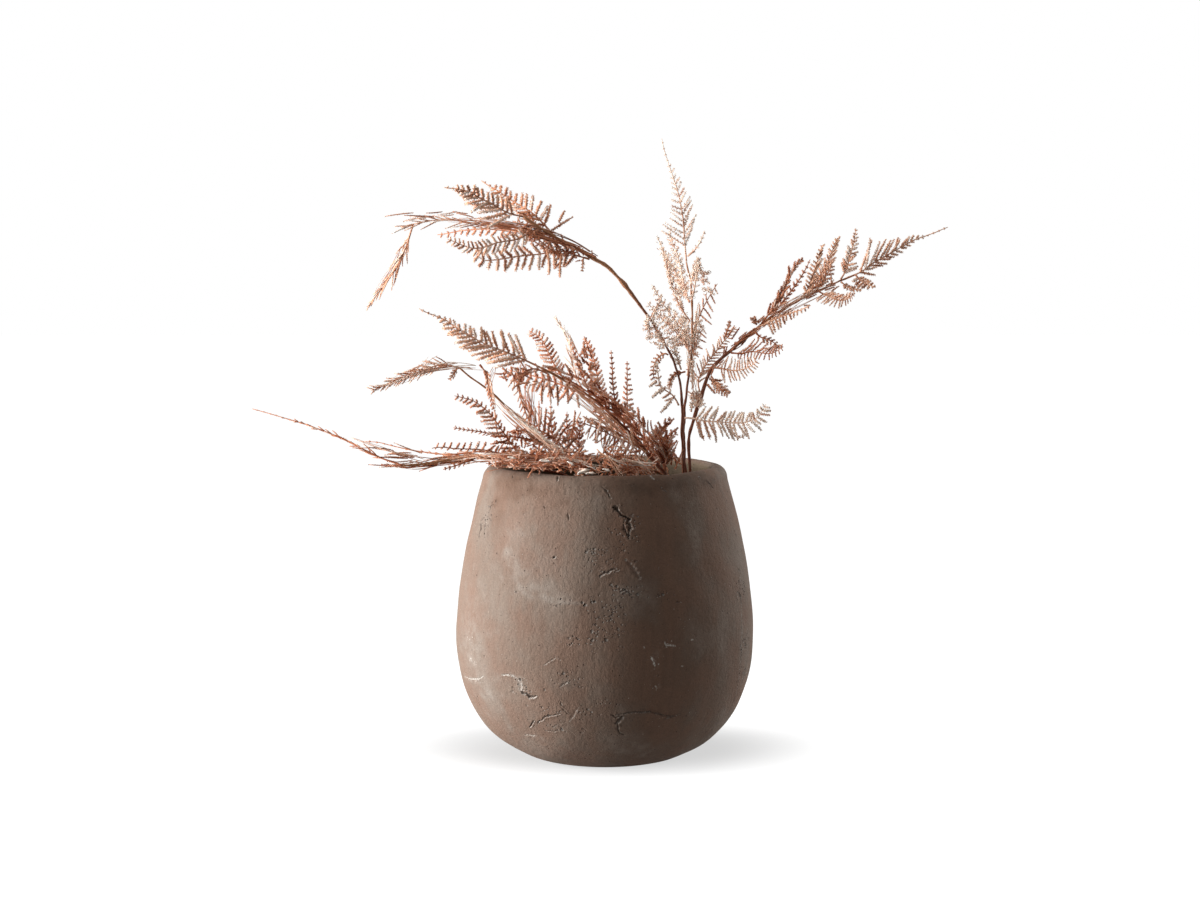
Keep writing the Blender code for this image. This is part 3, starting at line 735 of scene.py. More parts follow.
@dataclass
class ClayPot:
    """Egg-shaped pot, from the middle of its foot up its outside, over the rim and down its inside.

    Angles run round from the front, to the right, in degrees. Lengths named for a ripple are its wavelength.
    """

    belly_radius: float = 149.6
    belly_height: float = 129.4
    belly_depth: float = 131.4
    belly_roundness: float = 2.1
    belly_fullness: float = 3.1
    shoulder_rise: float = 160.0
    shoulder_tuck: float = 28.3
    shoulder_roundness: float = 1.63
    shoulder_top: float = 284.0
    rim_height: float = 297.0
    rim_crest_radius: float = 110.4
    lip_radius: float = 104.3
    lip_drop: float = 7.0
    wall: float = 13.0
    floor: float = 14.0
    inner_top: float = 274.0
    outline_steps: tuple[int, int, int, int] = (240, 160, 40, 160)
    row_step: float = 2.5
    even_drop: float = 45.0
    hidden_rows: int = 22
    front_columns: int = 180
    back_columns: int = 80
    front_half_angle: float = 100.0
    # The strip without painted sheen, and how much painted sheen the right side gets.
    unpainted_sheen: tuple[float, float, float, float] = (-26.0, 19.0, 20.0, 78.0)
    right_sheen: float = 0.9
    inside_edge: tuple[float, float] = (7.0, 2.0)
    cuts: int = 3
    jag_step: float = 1.8
    jag_reach: float = 0.8
    unevenness: float = 0.45
    swell_length: float = 60.0
    stroke_height: float = 0.06
    stroke_length: float = 6.0
    stroke_waves: int = 14
    stroke_upright: float = 0.12
    clearance: float = 0.05
    smooth_foot: tuple[float, float] = (1.0, 12.0)
    unpitted_foot: tuple[float, float] = (1.0, 8.0)
    grit_length: float = 2.2
    fray_length: float = 16.0
    far_side: tuple[float, float] = (0.86, -0.51)
    finish: ClayFinish = ClayFinish()
    marks: tuple[Mark, ...] = (
        Mark(((-1.4, 287), (0.4, 283.2), (1.7, 280.4), (2.6, 276.6)), 0.60, 1.2, 0.5, 0.2),
        Mark(((3.4, 268.2), (4.7, 266.3), (5.9, 262.5), (7.6, 259.6), (9.3, 258.6), (10.1, 255.8),
            (10.4, 251.1), (9.9, 244.5), (9.8, 238)), 1.12, 3, 0.8, 0.15, ragged=0.9),
        Mark(((4.3, 268), (5.2, 265.6)), 2.5, 3.2, 0.8, 0.1),
        Mark(((7.6, 252.4), (8.3, 246.6), (9.2, 240.9)), 0.83, 1.6, 0.5, ragged=0.9),
        Mark(((8, 218.6), (8.3, 218)), 0.98, 1.2, 0.4, 0.9, 0.3),
        Mark(((8.6, 217), (10.2, 212.5), (12.1, 205.8), (13.2, 201)), 1.95, 0.9, 0.5, dark=0.15),
        Mark(((-2, 202.5), (-0.5, 205.3), (1.1, 207.2), (2.6, 208.1), (4.2, 209), (5.4, 209)), 1, 1, 0.6,
            0.5, ragged=0.9),
        Mark(((5.6, 188.2), (7.2, 190.1), (8.7, 188.1), (10.2, 185.2)), 0.83, 1.1, 0.6, 0.4, ragged=0.9),
        Mark(((-43.2, 102.1), (-39.5, 103.1), (-36.6, 101.9), (-34.9, 99.4)), 0.75, 0.9, 0.5, 0.8, 0.5),
        Mark(((-34.9, 99.4), (-34.2, 93.5), (-34.1, 87.5)), 1.65, 0.6, 0.3, 0.5, 0.1),
        Mark(((-34.1, 87.5), (-31.9, 86), (-30.3, 83.3), (-27.5, 85)), 1.12, 2.4, 0.8, 0.8),
        Mark(((-34, 87.2), (-33.2, 86.4)), 1.42, 2.8, 0.6, 0.2),
        Mark(((-30.9, 84.2), (-30.3, 84)), 1.35, 2.8, 0.6, 0.2),
        Mark(((-34.6, 49.9), (-32.3, 54.8), (-30.8, 58.3)), 0.75, 1.5, 0.6, 0.4),
        Mark(((-29.7, 55.4), (-27.2, 60.2), (-24.6, 63.9), (-21.3, 66.6), (-18.2, 68.1)), 0.68, 1.4, 0.7,
            0.3),
        Mark(((-26.8, 48.5), (-23.5, 48), (-20.1, 49.7)), 0.60, 0.8, 0.4, 0.3),
        Mark(((4.3, 68.4), (6.6, 69.3), (9.8, 70.1), (13.8, 70.8), (18, 70.2), (21.5, 67.6), (24.8, 64.9),
            (28.1, 63.2), (31.8, 64.4)), 0.75, 1, 1.1, 0.15, 0.7, 0.3),
        Mark(((25.2, 60.6), (27.7, 63.3), (30, 63.8)), 0.75, 1.2, 0.7),
        Mark(((6.9, 66.4), (5.6, 62), (4.4, 58.8)), 1.5, 2.6, 0.7),
        Mark(((4.8, 61), (5.4, 53.4), (5.9, 49), (8.1, 46.7)), 0.68, 1.8, 0.5),
        Mark(((2.3, 68.4), (4.7, 65.2), (6.7, 67.2)), 0.68, 1.1, 0.5),
        Mark(((-60.5, 267), (-61.3, 262), (-61.2, 257.2)), 0.60, 1.4, 0.4),
        Mark(((-67.7, 243.9), (-65.4, 239.6), (-66.5, 234.4), (-65.6, 230.7)), 0.90, 2, 0.5, 0.2),
        Mark(((-63.3, 248.9), (-62.1, 243.3), (-61.9, 237.5), (-60.7, 231)), 0.52, 1, 0.3),
        Mark(((54.2, 288.6), (56.7, 284.2), (59.2, 278.9)), 0.52, 0.9, 0.5, 0.3),
        Mark(((26.1, 285.7), (27.4, 282.7), (28.8, 280.7)), 0.52, 0.7, 0.4, 0.3),
        Mark(((69.9, 238.4), (70.9, 232.3), (72.5, 227.9)), 0.52, 0.8, 0.5, 0.3),
        Mark(((68.1, 192.7), (65.8, 168.8), (63.3, 130.1), (64.2, 89.7), (67.8, 62.7), (70.6, 43.8)), 0.9,
            0.35, 0.25, dark=0.35, ragged=0.25),
        Mark(((-17.2, 95.8), (-15.6, 99), (-14, 102.2)), 0.68, 0.7, 0.3, 0.4, 0.4, 0.9),
        Mark(((-17.8, 76.5), (-16, 71.6), (-14.1, 67.6)), 0.75, 0.5, 0.4, dark=0.2),
        Mark(((-10.6, 75.2), (-12.4, 68.8), (-14.8, 61.2)), 1.3, 0.2, 0.1, dark=0.05),
        Mark(((-74.3, 89.6), (-68.6, 89.9), (-62.1, 91.5), (-56.8, 94.5), (-54.3, 97.4)), 0.68, 0.8, 0.6, 1,
            0.3),
        Mark(((-66.3, 71.5), (-65.4, 65.7), (-64.4, 63)), 0.68, 1, 0.4),
        Mark(((-40, 39.6), (-35.8, 41.9), (-32, 41.7)), 0.60, 0.4, 0.3, 0.4, 0.2, 0.9),
        Mark(((-23.6, 116.6), (-20.8, 121), (-18.4, 125.2), (-16.9, 122.5)), 0.60, 0.5, 0.2, 0.2, 0.3, 0.9),
        Mark(((23, 134.2), (24.6, 135.9), (26.7, 134.5)), 0.62, 0.3, 0.3, 1, 0),
        Mark(((17.1, 125.4), (17.9, 120.4), (18.7, 116.4)), 0.80, 0.3, 0.3, 1, 0),
        Mark(((22.6, 139.1), (23.4, 135.1)), 0.45, 0.2, 0.2, 1, 0),
        Mark(((19, 96.6), (19.9, 94.4)), 0.55, 0.3, 0.3, 1, 0),
        Mark(((33.5, 139.5), (34.6, 139)), 0.50, 0.2, 0.2, 1, 0),
        Mark(((14.3, 135.6), (14.6, 134)), 0.42, 0.2, 0.2, 1, 0),
        Mark(((29.5, 114.5), (30.2, 114)), 0.42, 0.2, 0.2, 1, 0),
        Mark(((28, 176.4), (29.4, 176.2)), 0.60, 0.8, 0.3),
        Mark(((67.8, 197.7),), 1.5, 1.6, 0.4),
        Mark(((57.9, 259.8),), 1, 1, 0.3),
        Mark(((-21.2, 219.2), (-20.4, 220.6)), 0.98, 1.5, 0.5, 0.3),
        Mark(((-27.8, 267.6), (-26.9, 265.4)), 0.75, 1.2, 0.3),
        Mark(((-37.3, 258.7),), 0.9, 1, 0.3),
        Mark(((-36.9, 184.8), (-36.1, 184.2)), 0.75, 1, 0.3),
        Mark(((-16.1, 262), (-15.5, 255.5)), 0.60, 0.9, 0.3),
        Mark(((-32.2, 274.6),), 0.9, 1, 0.3),
        Mark(((-13, 137.4),), 1.2, 1.5, 0.4),
        Mark(((-5.6, 208),), 1, 1.2, 0.4),
        Mark(((-45.1, 179.6),), 0.9, 1, 0.2),
        Mark(((-23.6, 296), (-22.6, 292.5)), 0.98, 1.2, 0.3, 0.2),
        Mark(((22.2, 296.5), (23.2, 293.5)), 0.90, 1, 0.3, 0.6, 0.3),
        Mark(((49.4, 292.6), (50.4, 290.6)), 0.90, 0.9, 0.3, 0.3, 0.5),
        Mark(((81.5, 286.4), (82.6, 283.8)), 0.90, 1, 0.3, dark=0.7),
        Mark(((-49.5, 293.4), (-48.5, 291.6)), 0.68, 0.8, 0.2),
        Mark(((150, 248), (158, 236), (155, 214), (163, 190)), 0.83, 1.6, 0.7, 0.3),
        Mark(((210, 92), (222, 84), (236, 88), (248, 80)), 0.83, 1.3, 0.8, 0.4),
        Mark(((112, 120), (118, 132), (116, 146)), 0.75, 1.2, 0.6, 0.5),
    )
    pitted: tuple[Patch, ...] = (
        Patch(-0.3, 170, 6, 13, 1),
        Patch(0.6, 156, 5, 9, 1),
        Patch(-7.5, 141, 7, 6, 0.8),
        Patch(-20.5, 70, 6, 6, 0.5),
        Patch(-6.4, 71, 4, 5, 0.5),
        Patch(1.5, 81, 5, 5, 0.45),
        Patch(8.5, 247, 4.5, 13, 1),
        Patch(-2, 219, 6, 7, 0.8),
        Patch(4.5, 190, 8, 6, 0.9),
        Patch(-22, 51, 7, 5, 0.6),
        Patch(-34, 92, 6, 10, 0.5),
        Patch(-14, 104, 7, 9, 0.5),
        Patch(22, 182, 7, 4, 0.6),
        Patch(68, 128, 4, 9, 0.9),
        Patch(70, 97, 4, 8, 0.9),
        Patch(66, 180, 5, 12, 0.6),
        Patch(-62, 250, 5, 14, 0.5),
        Patch(-17, 178, 5, 3, 0.8),
        Patch(155, 230, 10, 30, 0.8),
        Patch(225, 90, 14, 16, 0.8),
    )
    chalked: tuple[Patch, ...] = (
        Patch(24, 136, 4, 5, 0.5),
        Patch(19, 118, 4, 10, 0.35),
        Patch(19.6, 96, 2.5, 4, 0.4),
        Patch(-63, 110, 4.5, 3, 1),
        Patch(-63, 132, 3, 6, 0.8),
        Patch(-66, 90.5, 9, 2.5, 0.9),
        Patch(-34, 94, 3, 7, 0.7),
        Patch(-36, 41, 5, 1.8, 0.8),
        Patch(-38, 102.5, 4.5, 1.5, 0.9),
        Patch(2, 207, 4, 3, 0.5),
        Patch(8, 189, 3, 3, 0.5),
        Patch(150, 120, 12, 30, 0.5),
    )
    blooms: tuple[Patch, ...] = (
        Patch(-40, 238, 6, 13, 0.5),
        Patch(-41.5, 216, 5, 11, 0.55),
        Patch(-36.5, 203, 5, 8, 0.65),
        Patch(-29, 190, 6, 6, 0.8),
        Patch(-21.5, 181.5, 6, 3, 0.85),
        Patch(-15, 177.5, 6, 1.2, 0.8),
        Patch(-25, 214, 8, 18, 0.3),
        Patch(-62, 130, 10, 40, 0.7),
        Patch(-54, 82, 7, 26, 0.5),
        Patch(-39, 26, 12, 12, 0.4),
        Patch(-34.4, 93, 1.6, 7, 0.8),
        Patch(160, 200, 26, 40, 0.5),
        Patch(230, 60, 20, 30, 0.5),
        Patch(80, 292, 13, 7, 1),
    )
    # Warm stains; the first two, under the rim at the front left, are partly painted shade from the foliage
    # above.
    shade_stained: tuple[Patch, ...] = (
        Patch(-48, 284, 15, 15, 0.8),
        Patch(-24, 284, 14, 10, 0.2),
        Patch(-54, 250, 6, 18, 0.4),
        Patch(-40, 205, 7, 20, 0.3),
        Patch(-26, 120, 14, 34, 0.35),
        Patch(140, 270, 30, 14, 0.4),
    )
    # Painted shade along the front of the rim.
    painted_rim_shade: tuple[Patch, ...] = (
        Patch(27, 298, 36, 12, 0.95),
    )

    def outer_radius(self, height: Array) -> Array:
        """Radius of the outside: a superellipse belly below the widest place, a power curve tuck above it."""
        height = np.asarray(height, float)
        below = np.clip((self.belly_height - height) / self.belly_depth, 0.0, 1.0)
        above = np.clip((height - self.belly_height) / self.shoulder_rise, 0.0, None)
        belly = self.belly_radius * (1.0 - below ** self.belly_roundness) ** (1.0 / self.belly_fullness)
        return belly - self.shoulder_tuck * above ** self.shoulder_roundness

    def profile(self) -> tuple[Array, int, int]:
        """Outline of the wall, as fine (radius, height) points from the foot's edge to the inner floor.

        The rim is two quarter ellipses that meet at its crest: outside it r and z run as
        crest + (shoulder - crest) cos(a) and shoulder + (rim - shoulder) sin(a), and inside it as
        crest + (lip - crest) sin(a) and lip + drop cos(a).

        Returns:
            The points, how many of them rise to the crest, and how many come before the inner wall.
        """
        belly, shoulder, rim, inner = self.outline_steps
        outside = np.concatenate((self.belly_height * np.linspace(0.0, 1.0, belly) ** 2,
                                  np.linspace(self.belly_height, self.shoulder_top, shoulder)[1:]))
        turn = np.linspace(0.0, math.pi / 2, rim)[1:]
        top_radius = float(self.outer_radius(self.shoulder_top))
        over = np.column_stack((self.rim_crest_radius + (top_radius - self.rim_crest_radius) * np.cos(turn),
                                self.shoulder_top + (self.rim_height - self.shoulder_top) * np.sin(turn)))
        inward = (self.lip_radius - self.rim_crest_radius) * np.sin(turn)
        down = np.column_stack((self.rim_crest_radius + inward,
                                self.rim_height - self.lip_drop + self.lip_drop * np.cos(turn)))
        inside = np.linspace(self.inner_top, self.floor, inner)
        hidden = np.column_stack((self.outer_radius(inside) - self.wall, inside))
        rising = np.vstack((np.column_stack((self.outer_radius(outside), outside)), over))
        return np.vstack((rising, down, hidden)), len(rising), len(rising) + len(down)

    def build(self) -> None:
        """Make the pot's surface and put it in the solid's place."""
        outline, rising, shown = self.profile()
        travel = path_lengths(outline)
        lines = [self._ragged_line(mark, number, outline[:rising, 1], travel[:rising])
                 for number, mark in enumerate(self.marks)]
        lip = travel[shown - 1]
        sheet, faces, grid = self._sheet(lip + self.even_drop, travel[-1], lines)
        angle, along = sheet.T
        radius = np.interp(along, travel, outline[:, 0])
        height = np.interp(along, travel, outline[:, 1])
        slope = np.gradient(outline, travel, axis=0)
        lean_out = np.interp(along, travel, slope[:, 1])
        lean_up = -np.interp(along, travel, slope[:, 0])
        offset, groove_shade, salt = self._damage(angle, along, lines)
        turn = np.radians(angle)
        around = np.column_stack((np.sin(turn), -np.cos(turn)))
        level = np.column_stack((around * radius[:, None], height))
        offset += self._unevenness(level)
        radius = np.minimum(radius + offset * lean_out, self.belly_radius - self.clearance)
        height = np.clip(height + offset * lean_up, 0.0, self.rim_height)
        points = np.column_stack((around * radius[:, None], height))
        mesh = self._closed_mesh(points, faces, grid)
        above_foot = ease(height, *self.unpitted_foot)
        poles = np.zeros(2)
        for name, values in (("groove_shade", groove_shade), ("salt", salt),
                             ("chalk", self._patches(self.chalked, angle, height)),
                             ("bloom", self._patches(self.blooms, angle, height)),
                             ("painted_sheen", self._painted_sheen(angle)),
                             ("shade_stain", self._patches(self.shade_stained, angle, height)),
                             ("pitted", self._patches(self.pitted, angle, height) * above_foot),
                             ("painted_rim_shade", self._patches(self.painted_rim_shade, angle, height)),
                             ("inside", ease(along, *(lip - np.array(self.inside_edge))))):
            add_attribute(mesh, name, np.concatenate((values, poles)))
        place(mesh, self.finish.material(), "clay", ("pot",))

    def _painted_sheen(self, angle: Array) -> Array:
        """Painted sheen: all the clay is painted paler, as its sides look where the light grazes them, but
        for a strip near the front, left darker as painted shade, with soft edges.
        """
        left, left_in, right_in, right = self.unpainted_sheen
        turned = (angle + 90.0) % 360.0 - 90.0
        return 1.0 - ease(turned, left, left_in) + self.right_sheen * ease(turned, right_in, right)

    def _unevenness(self, level: Array) -> Array:
        """The hand-made wall's swell and its upright brush strokes, never proud of the true form."""
        swell = Ripple(self.swell_length, seed=3)(level) - 1.0
        brush = Ripple(self.stroke_length, seed=4, waves=self.stroke_waves)
        strokes = brush(level * (1.0, 1.0, self.stroke_upright))
        rise = self.unevenness * swell + self.stroke_height * strokes
        return rise * ease(level[:, 2], *self.smooth_foot)

    def _ragged_line(self, mark: Mark, seed: int, heights: Array, travel: Array) -> Array:
        """A mark's line on the unrolled wall, in millimetres, with small steps thrown off to both sides."""
        line = np.asarray(mark.line, float)
        across = np.radians(line[:, 0]) * self._unroll_radius(mark)
        line = np.column_stack((across, np.interp(line[:, 1], heights, travel)))
        if len(line) == 1:
            return np.vstack((line, line + 0.1))
        length = path_lengths(line)[-1]
        count = max(2, int(length / self.jag_step) + 1)
        dense = read_path(line, np.linspace(0.0, 1.0, count))
        jitter = np.random.default_rng(seed).normal(0.0, self.jag_reach * mark.ragged, dense.shape)
        jitter[0] = jitter[-1] = 0.0
        return dense + jitter

    def _unroll_radius(self, mark: Mark) -> float:
        """Radius at which a mark's neighbourhood is unrolled flat."""
        return float(self.outer_radius(np.mean([height for _, height in mark.line])))

    def _sheet(self, soil_line: float, end: float, lines: list[Array],
               ) -> tuple[Array, list[Any], tuple[int, int]]:
        """Grid over (angle, travel), closed round the pot, with its cells near the marks cut finer.

        Args:
            soil_line: travel along the outline to just under the soil.
            end: travel to the middle of the inner floor's edge.
            lines: each mark's line on the unrolled wall.

        Returns:
            Vertices as (angle, travel), the faces, and the numbers of the grid's rows and columns. The grid's
            own vertices come first, row by row.
        """
        rows = np.concatenate((np.arange(0.0, soil_line, self.row_step),
                               np.linspace(soil_line, end, self.hidden_rows)))
        front = np.linspace(-self.front_half_angle, self.front_half_angle, self.front_columns)
        back = np.linspace(self.front_half_angle, 360.0 - self.front_half_angle, self.back_columns)[1:-1]
        columns = np.concatenate((front, back))
        count = len(columns)
        grid = np.column_stack((np.tile(columns, len(rows)), np.repeat(rows, count)))
        row, k = np.meshgrid(np.arange(len(rows) - 1), np.arange(count), indexing="ij")
        n = (k + 1) % count
        quads = np.stack((row * count + k, row * count + n, (row + 1) * count + n, (row + 1) * count + k), -1)
        quads = quads.reshape(-1, 4)
        middle = grid[quads].mean(axis=1)
        wanted = np.zeros(len(quads), bool)
        for mark, line in zip(self.marks, lines):
            reach = mark.cut_reach()
            index, distance, _, _ = self._near(middle, mark, line, reach + self.row_step)
            wanted[index[distance < reach]] = True
        wanted[quads[:, 1] % count == 0] = False
        flat = bpy.data.meshes.new("sheet")
        flat.from_pydata(np.column_stack((grid, np.zeros(len(grid)))).tolist(), [], quads.tolist())
        cutter = bmesh.new()
        cutter.from_mesh(flat)
        cutter.faces.ensure_lookup_table()
        edges = {edge for number in np.flatnonzero(wanted) for edge in cutter.faces[int(number)].edges}
        bmesh.ops.subdivide_edges(cutter, edges=list(edges), cuts=self.cuts, use_grid_fill=True)
        cutter.to_mesh(flat)
        cutter.free()
        values = np.empty(len(flat.vertices) * 3, np.float32)
        flat.vertices.foreach_get("co", values)
        faces = [tuple(face.vertices) for face in flat.polygons]
        bpy.data.meshes.remove(flat)
        log.info("pot: %d of %d cells cut finer", int(wanted.sum()), len(quads))
        return values.reshape(-1, 3)[:, :2].astype(float), faces, (len(rows), count)

    def _near(self, sheet: Array, mark: Mark, line: Array, reach: float) -> tuple[Array, Array, Array, Array]:
        """Points of the sheet near a mark.

        Args:
            sheet: points as (angle, travel).
            mark: the mark.
            line: its line on the unrolled wall.
            reach: how far from the line's box a point may be.

        Returns:
            The points' numbers, their distance from the line, how far they are on its lit far side (1, or -1
            on the shaded near side), and how far along it they are as a share of its length.
        """
        flat = np.column_stack((np.radians(sheet[:, 0]) * self._unroll_radius(mark), sheet[:, 1]))
        inside = np.all((flat > line.min(axis=0) - reach) & (flat < line.max(axis=0) + reach), axis=1)
        index = np.flatnonzero(inside)
        start, step = line[:-1], np.diff(line, axis=0)
        travelled = path_lengths(line)
        away = flat[index][:, None] - start
        share = np.clip((away * step).sum(-1) / (step * step).sum(-1), 0.0, 1.0)
        miss = away - share[..., None] * step
        gaps = np.linalg.norm(miss, axis=-1)
        pick = (np.arange(len(index)), gaps.argmin(axis=1)) if len(index) else (index, index)
        lit = (miss @ self.far_side)[pick] / (gaps[pick] + 0.05)
        along = (travelled[:-1] + share * np.diff(travelled))[pick] / travelled[-1]
        return index, gaps[pick], lit, along

    def _damage(self, angle: Array, along: Array, lines: list[Array]) -> tuple[Array, Array, Array]:
        """Depth, darkness and salt of all the marks at each vertex.

        At the distance d from its line a mark of width w and depth h moves the wall by
        -h exp(-(d/w)^2) + lip exp(-((d - 1.7w)/(0.8w))^2), both fading out at the line's ends. Salt lies
        along its edges, more on the lit far one, and fills a mark that is salty and not dark. The darkness is
        painted shade in the groove, moved to its shaded near side, and every mark's lit far edge gets a
        painted highlight, salty or not.

        Args:
            angle: degrees round from the front.
            along: travel along the outline.
            lines: each mark's line on the unrolled wall.

        Returns:
            How far each vertex moves out, how dark it is with painted shade, and how white with salt and
            painted highlights.
        """
        sheet = np.column_stack((angle, along))
        offset, groove_shade, salt = np.zeros((3, len(angle)))
        grit = Ripple(self.grit_length, seed=11)
        for mark, line in zip(self.marks, lines):
            index, distance, lit, share = self._near(sheet, mark, line, mark.felt_reach())
            if not len(index):
                continue
            speckle = grit(np.column_stack((sheet[index] * (2.4, 1.0), np.zeros(len(index)))))
            taper = 0.45 + 0.55 * np.sqrt(np.sin(math.pi * np.clip(share, 0.03, 0.97)))
            width = mark.width * taper * (1.0 + 0.25 * speckle)
            groove = np.exp(-(distance / width) ** 2)
            lip = np.exp(-((distance - 1.7 * width) / (0.8 * width)) ** 2) * (0.7 + 0.3 * lit)
            broken = np.clip(0.85 + 0.7 * speckle, 0.15, 1.0)
            offset[index] += taper * (mark.lip * lip - mark.depth * groove * (0.45 + 0.55 * broken))
            # Painted shade in the groove, moved towards its shaded near side.
            dark = mark.dark * broken * np.exp(-((distance + 0.4 * width * lit) / (0.85 * width)) ** 2)
            groove_shade[index] = np.maximum(groove_shade[index], dark)
            # Salt on the edges, and on every mark's lit far edge a painted highlight.
            edge = np.exp(-((distance - 0.9 * width) / (0.6 * width)) ** 2)
            salt_and_highlight = mark.salt * (0.6 + 0.4 * lit) + 0.45 * np.clip(lit, 0.0, 1.0)
            chalk = edge * (0.75 + 0.5 * speckle) * salt_and_highlight
            chalk = np.maximum(chalk, (mark.salt * (1.0 - mark.dark)) ** 2 * groove * broken)
            salt[index] = np.maximum(salt[index], chalk)
        return offset, np.clip(groove_shade, 0.0, 1.0), np.clip(salt, 0.0, 1.0)

    def _patches(self, patches: tuple[Patch, ...], angle: Array, height: Array) -> Array:
        """Strength of some patches at each vertex: round bumps whose edges are frayed by ripples."""
        total = np.zeros(len(angle))
        fray = Ripple(self.fray_length, seed=21)(np.column_stack((angle * 2.5, height, np.zeros(len(angle)))))
        for patch in patches:
            across = ((angle - patch.angle + 180.0) % 360.0 - 180.0) / patch.half_angle
            up = (height - patch.height) / patch.half_height
            total += patch.strength * np.exp(-(across ** 2 + up ** 2) * np.clip(1.0 + 0.5 * fray, 0.3, 2.0))
        return np.clip(total, 0.0, 1.0)

    def _closed_mesh(self, points: Array, faces: list[Any], grid: tuple[int, int]) -> bpy.types.Mesh:
        """Close the wall with its foot and its inner floor, each a fan round a middle point.

        Args:
            points: vertices of the wall, its grid first, row by row.
            faces: faces of the wall.
            grid: the grid's rows and columns.

        Returns:
            The closed mesh.
        """
        rows, columns = grid
        foot = np.arange(columns)
        inner = foot + (rows - 1) * columns
        middle = len(points)
        points = np.vstack((points, (0.0, 0.0, 0.0), (0.0, 0.0, self.floor)))
        fans = [(middle, int(b), int(a)) for a, b in zip(foot, np.roll(foot, -1))]
        fans += [(middle + 1, int(a), int(b)) for a, b in zip(inner, np.roll(inner, -1))]
        mesh = bpy.data.meshes.new("pot_clay")
        mesh.from_pydata((points * MM).tolist(), [], faces + fans)
        mesh.shade_smooth()
        return mesh


# ---- Soil ------------------------------------------------------------------


@dataclass
class SoilFill:
    """Dry soil that fills the pot: an uneven crumbly top over a plain turned body, with crumbs on it."""

    pot: ClayPot
    top: float = SOIL_TOP
    bottom: float = 14.3
    clearance: float = 0.4
    columns: int = 120
    rings: int = 40
    wall_levels: int = 8
    wall_top: float = 8.0
    unevenness: float = 1.6
    swell_length: float = 38.0
    grain: float = 0.7
    grain_length: float = 7.0
    sink: float = 1.2
    crest: float = 1.5
    shade_length: float = 14.0
    litter_margin: float = 8.0
    litter_lift: float = 0.6
    crumbs: int = 700
    fallen: int = 260
    finish: SoilFinish = SoilFinish()

    def build(self) -> None:
        """Make the soil and what lies on it."""
        self._bed()
        self._litter()

    def _height(self, flat: Array) -> Array:
        """Height of the top at points of the plane: just under the soil's level, rippled at two scales."""
        ground = np.column_stack((flat, np.zeros(len(flat))))
        swell = self.unevenness * Ripple(self.swell_length, seed=31)(ground)
        crumb = self.grain * Ripple(self.grain_length, seed=32)(ground)
        return np.minimum(self.top - self.sink + swell + crumb, self.top + self.crest)

    def _bed(self) -> None:
        """Turned body: radius(height) = the pot's outside less its wall and a clearance, under the top."""
        edge = float(self.pot.outer_radius(self.top - 3.0)) - self.pot.wall - self.clearance
        levels = np.linspace(self.bottom, self.top - self.wall_top, self.wall_levels)
        angle = np.arange(self.columns) * (2 * math.pi / self.columns)
        circle = np.column_stack((np.cos(angle), np.sin(angle)))
        wall_radius = self.pot.outer_radius(levels) - self.pot.wall - self.clearance
        wall = np.dstack((circle[None] * wall_radius[:, None, None],
                          np.broadcast_to(levels[:, None], (len(levels), self.columns))))
        reach = edge * np.linspace(1.0, 0.02, self.rings)
        flat = (circle[None] * reach[:, None, None]).reshape(-1, 2)
        top = np.column_stack((flat, self._height(flat)))
        points = np.vstack((wall.reshape(-1, 3), top, (0.0, 0.0, self.bottom), (0.0, 0.0, top[-1, 2])))
        triangles = tube_faces(len(levels) + self.rings, self.columns)
        shell = Shell()
        tone = 0.5 + 0.4 * Ripple(self.shade_length, seed=33)(points)
        shell.add(points[None], triangles, tone[None], np.zeros(len(points)))
        shell.piece("soil_bed", self.finish.material(), "soil", ("soil",))

    def _litter(self) -> None:
        """Crumbs of soil, and leaflets that have dropped, each lying flat with its own turn."""
        for name, count, sizes, finish, slot in (
                ("soil_crumbs", self.crumbs, ((1.5, 1.3, 1.0), (5.0, 4.0, 3.0)), self.finish, "soil"),
                ("fallen_leaflets", self.fallen, ((3.0, 1.0, 0.3), (9.0, 2.4, 0.5)), COPPER, COPPER.slot)):
            chance = np.random.default_rng(41 + count)
            edge = float(self.pot.outer_radius(self.top)) - self.pot.wall - self.litter_margin
            radius = edge * np.sqrt(chance.uniform(0.0, 1.0, count))
            angle = chance.uniform(0.0, 2 * math.pi, count)
            flat = np.column_stack((radius * np.cos(angle), radius * np.sin(angle)))
            roots = np.column_stack((flat, self._height(flat) + self.litter_lift))
            turn = chance.uniform(0.0, 2 * math.pi, count)
            along = unit(np.column_stack((np.cos(turn), np.sin(turn), chance.uniform(-0.1, 0.35, count))))
            across = unit(np.cross(along, (0.0, 0.0, 1.0)))
            size = chance.uniform(*np.asarray(sizes), (count, 3))
            shell = Shell()
            shell.add_lobes(roots, along, across, size, chance.uniform(0.0, 1.0, count), cup=0.04)
            shell.piece(name, finish.material(), slot)


# ---- Fern ------------------------------------------------------------------


class Habit(Enum):
    """How fingers are clothed.

    The numbers are a finger's radius, the spacing, length and width of its leaflets, its droop, and how many
    shrivelled leaflets it has to a millimetre.
    """

    BRUSH = (0.85, 1.0, 2.2, 0.95, 0.0, 0.0)
    FINE = (0.6, 0.9, 1.5, 0.75, 0.0, 0.0)
    PLUMP = (1.1, 1.1, 2.8, 1.15, 0.0, 0.0)
    SMOOTH = (0.6, 2.6, 1.3, 0.6, 0.0, 0.0)
    SPARSE = (0.45, 1.3, 2.0, 1.0, 0.0, 0.0)
    CRUMPLED = (0.5, 1.7, 2.4, 1.3, 0.25, 0.5)


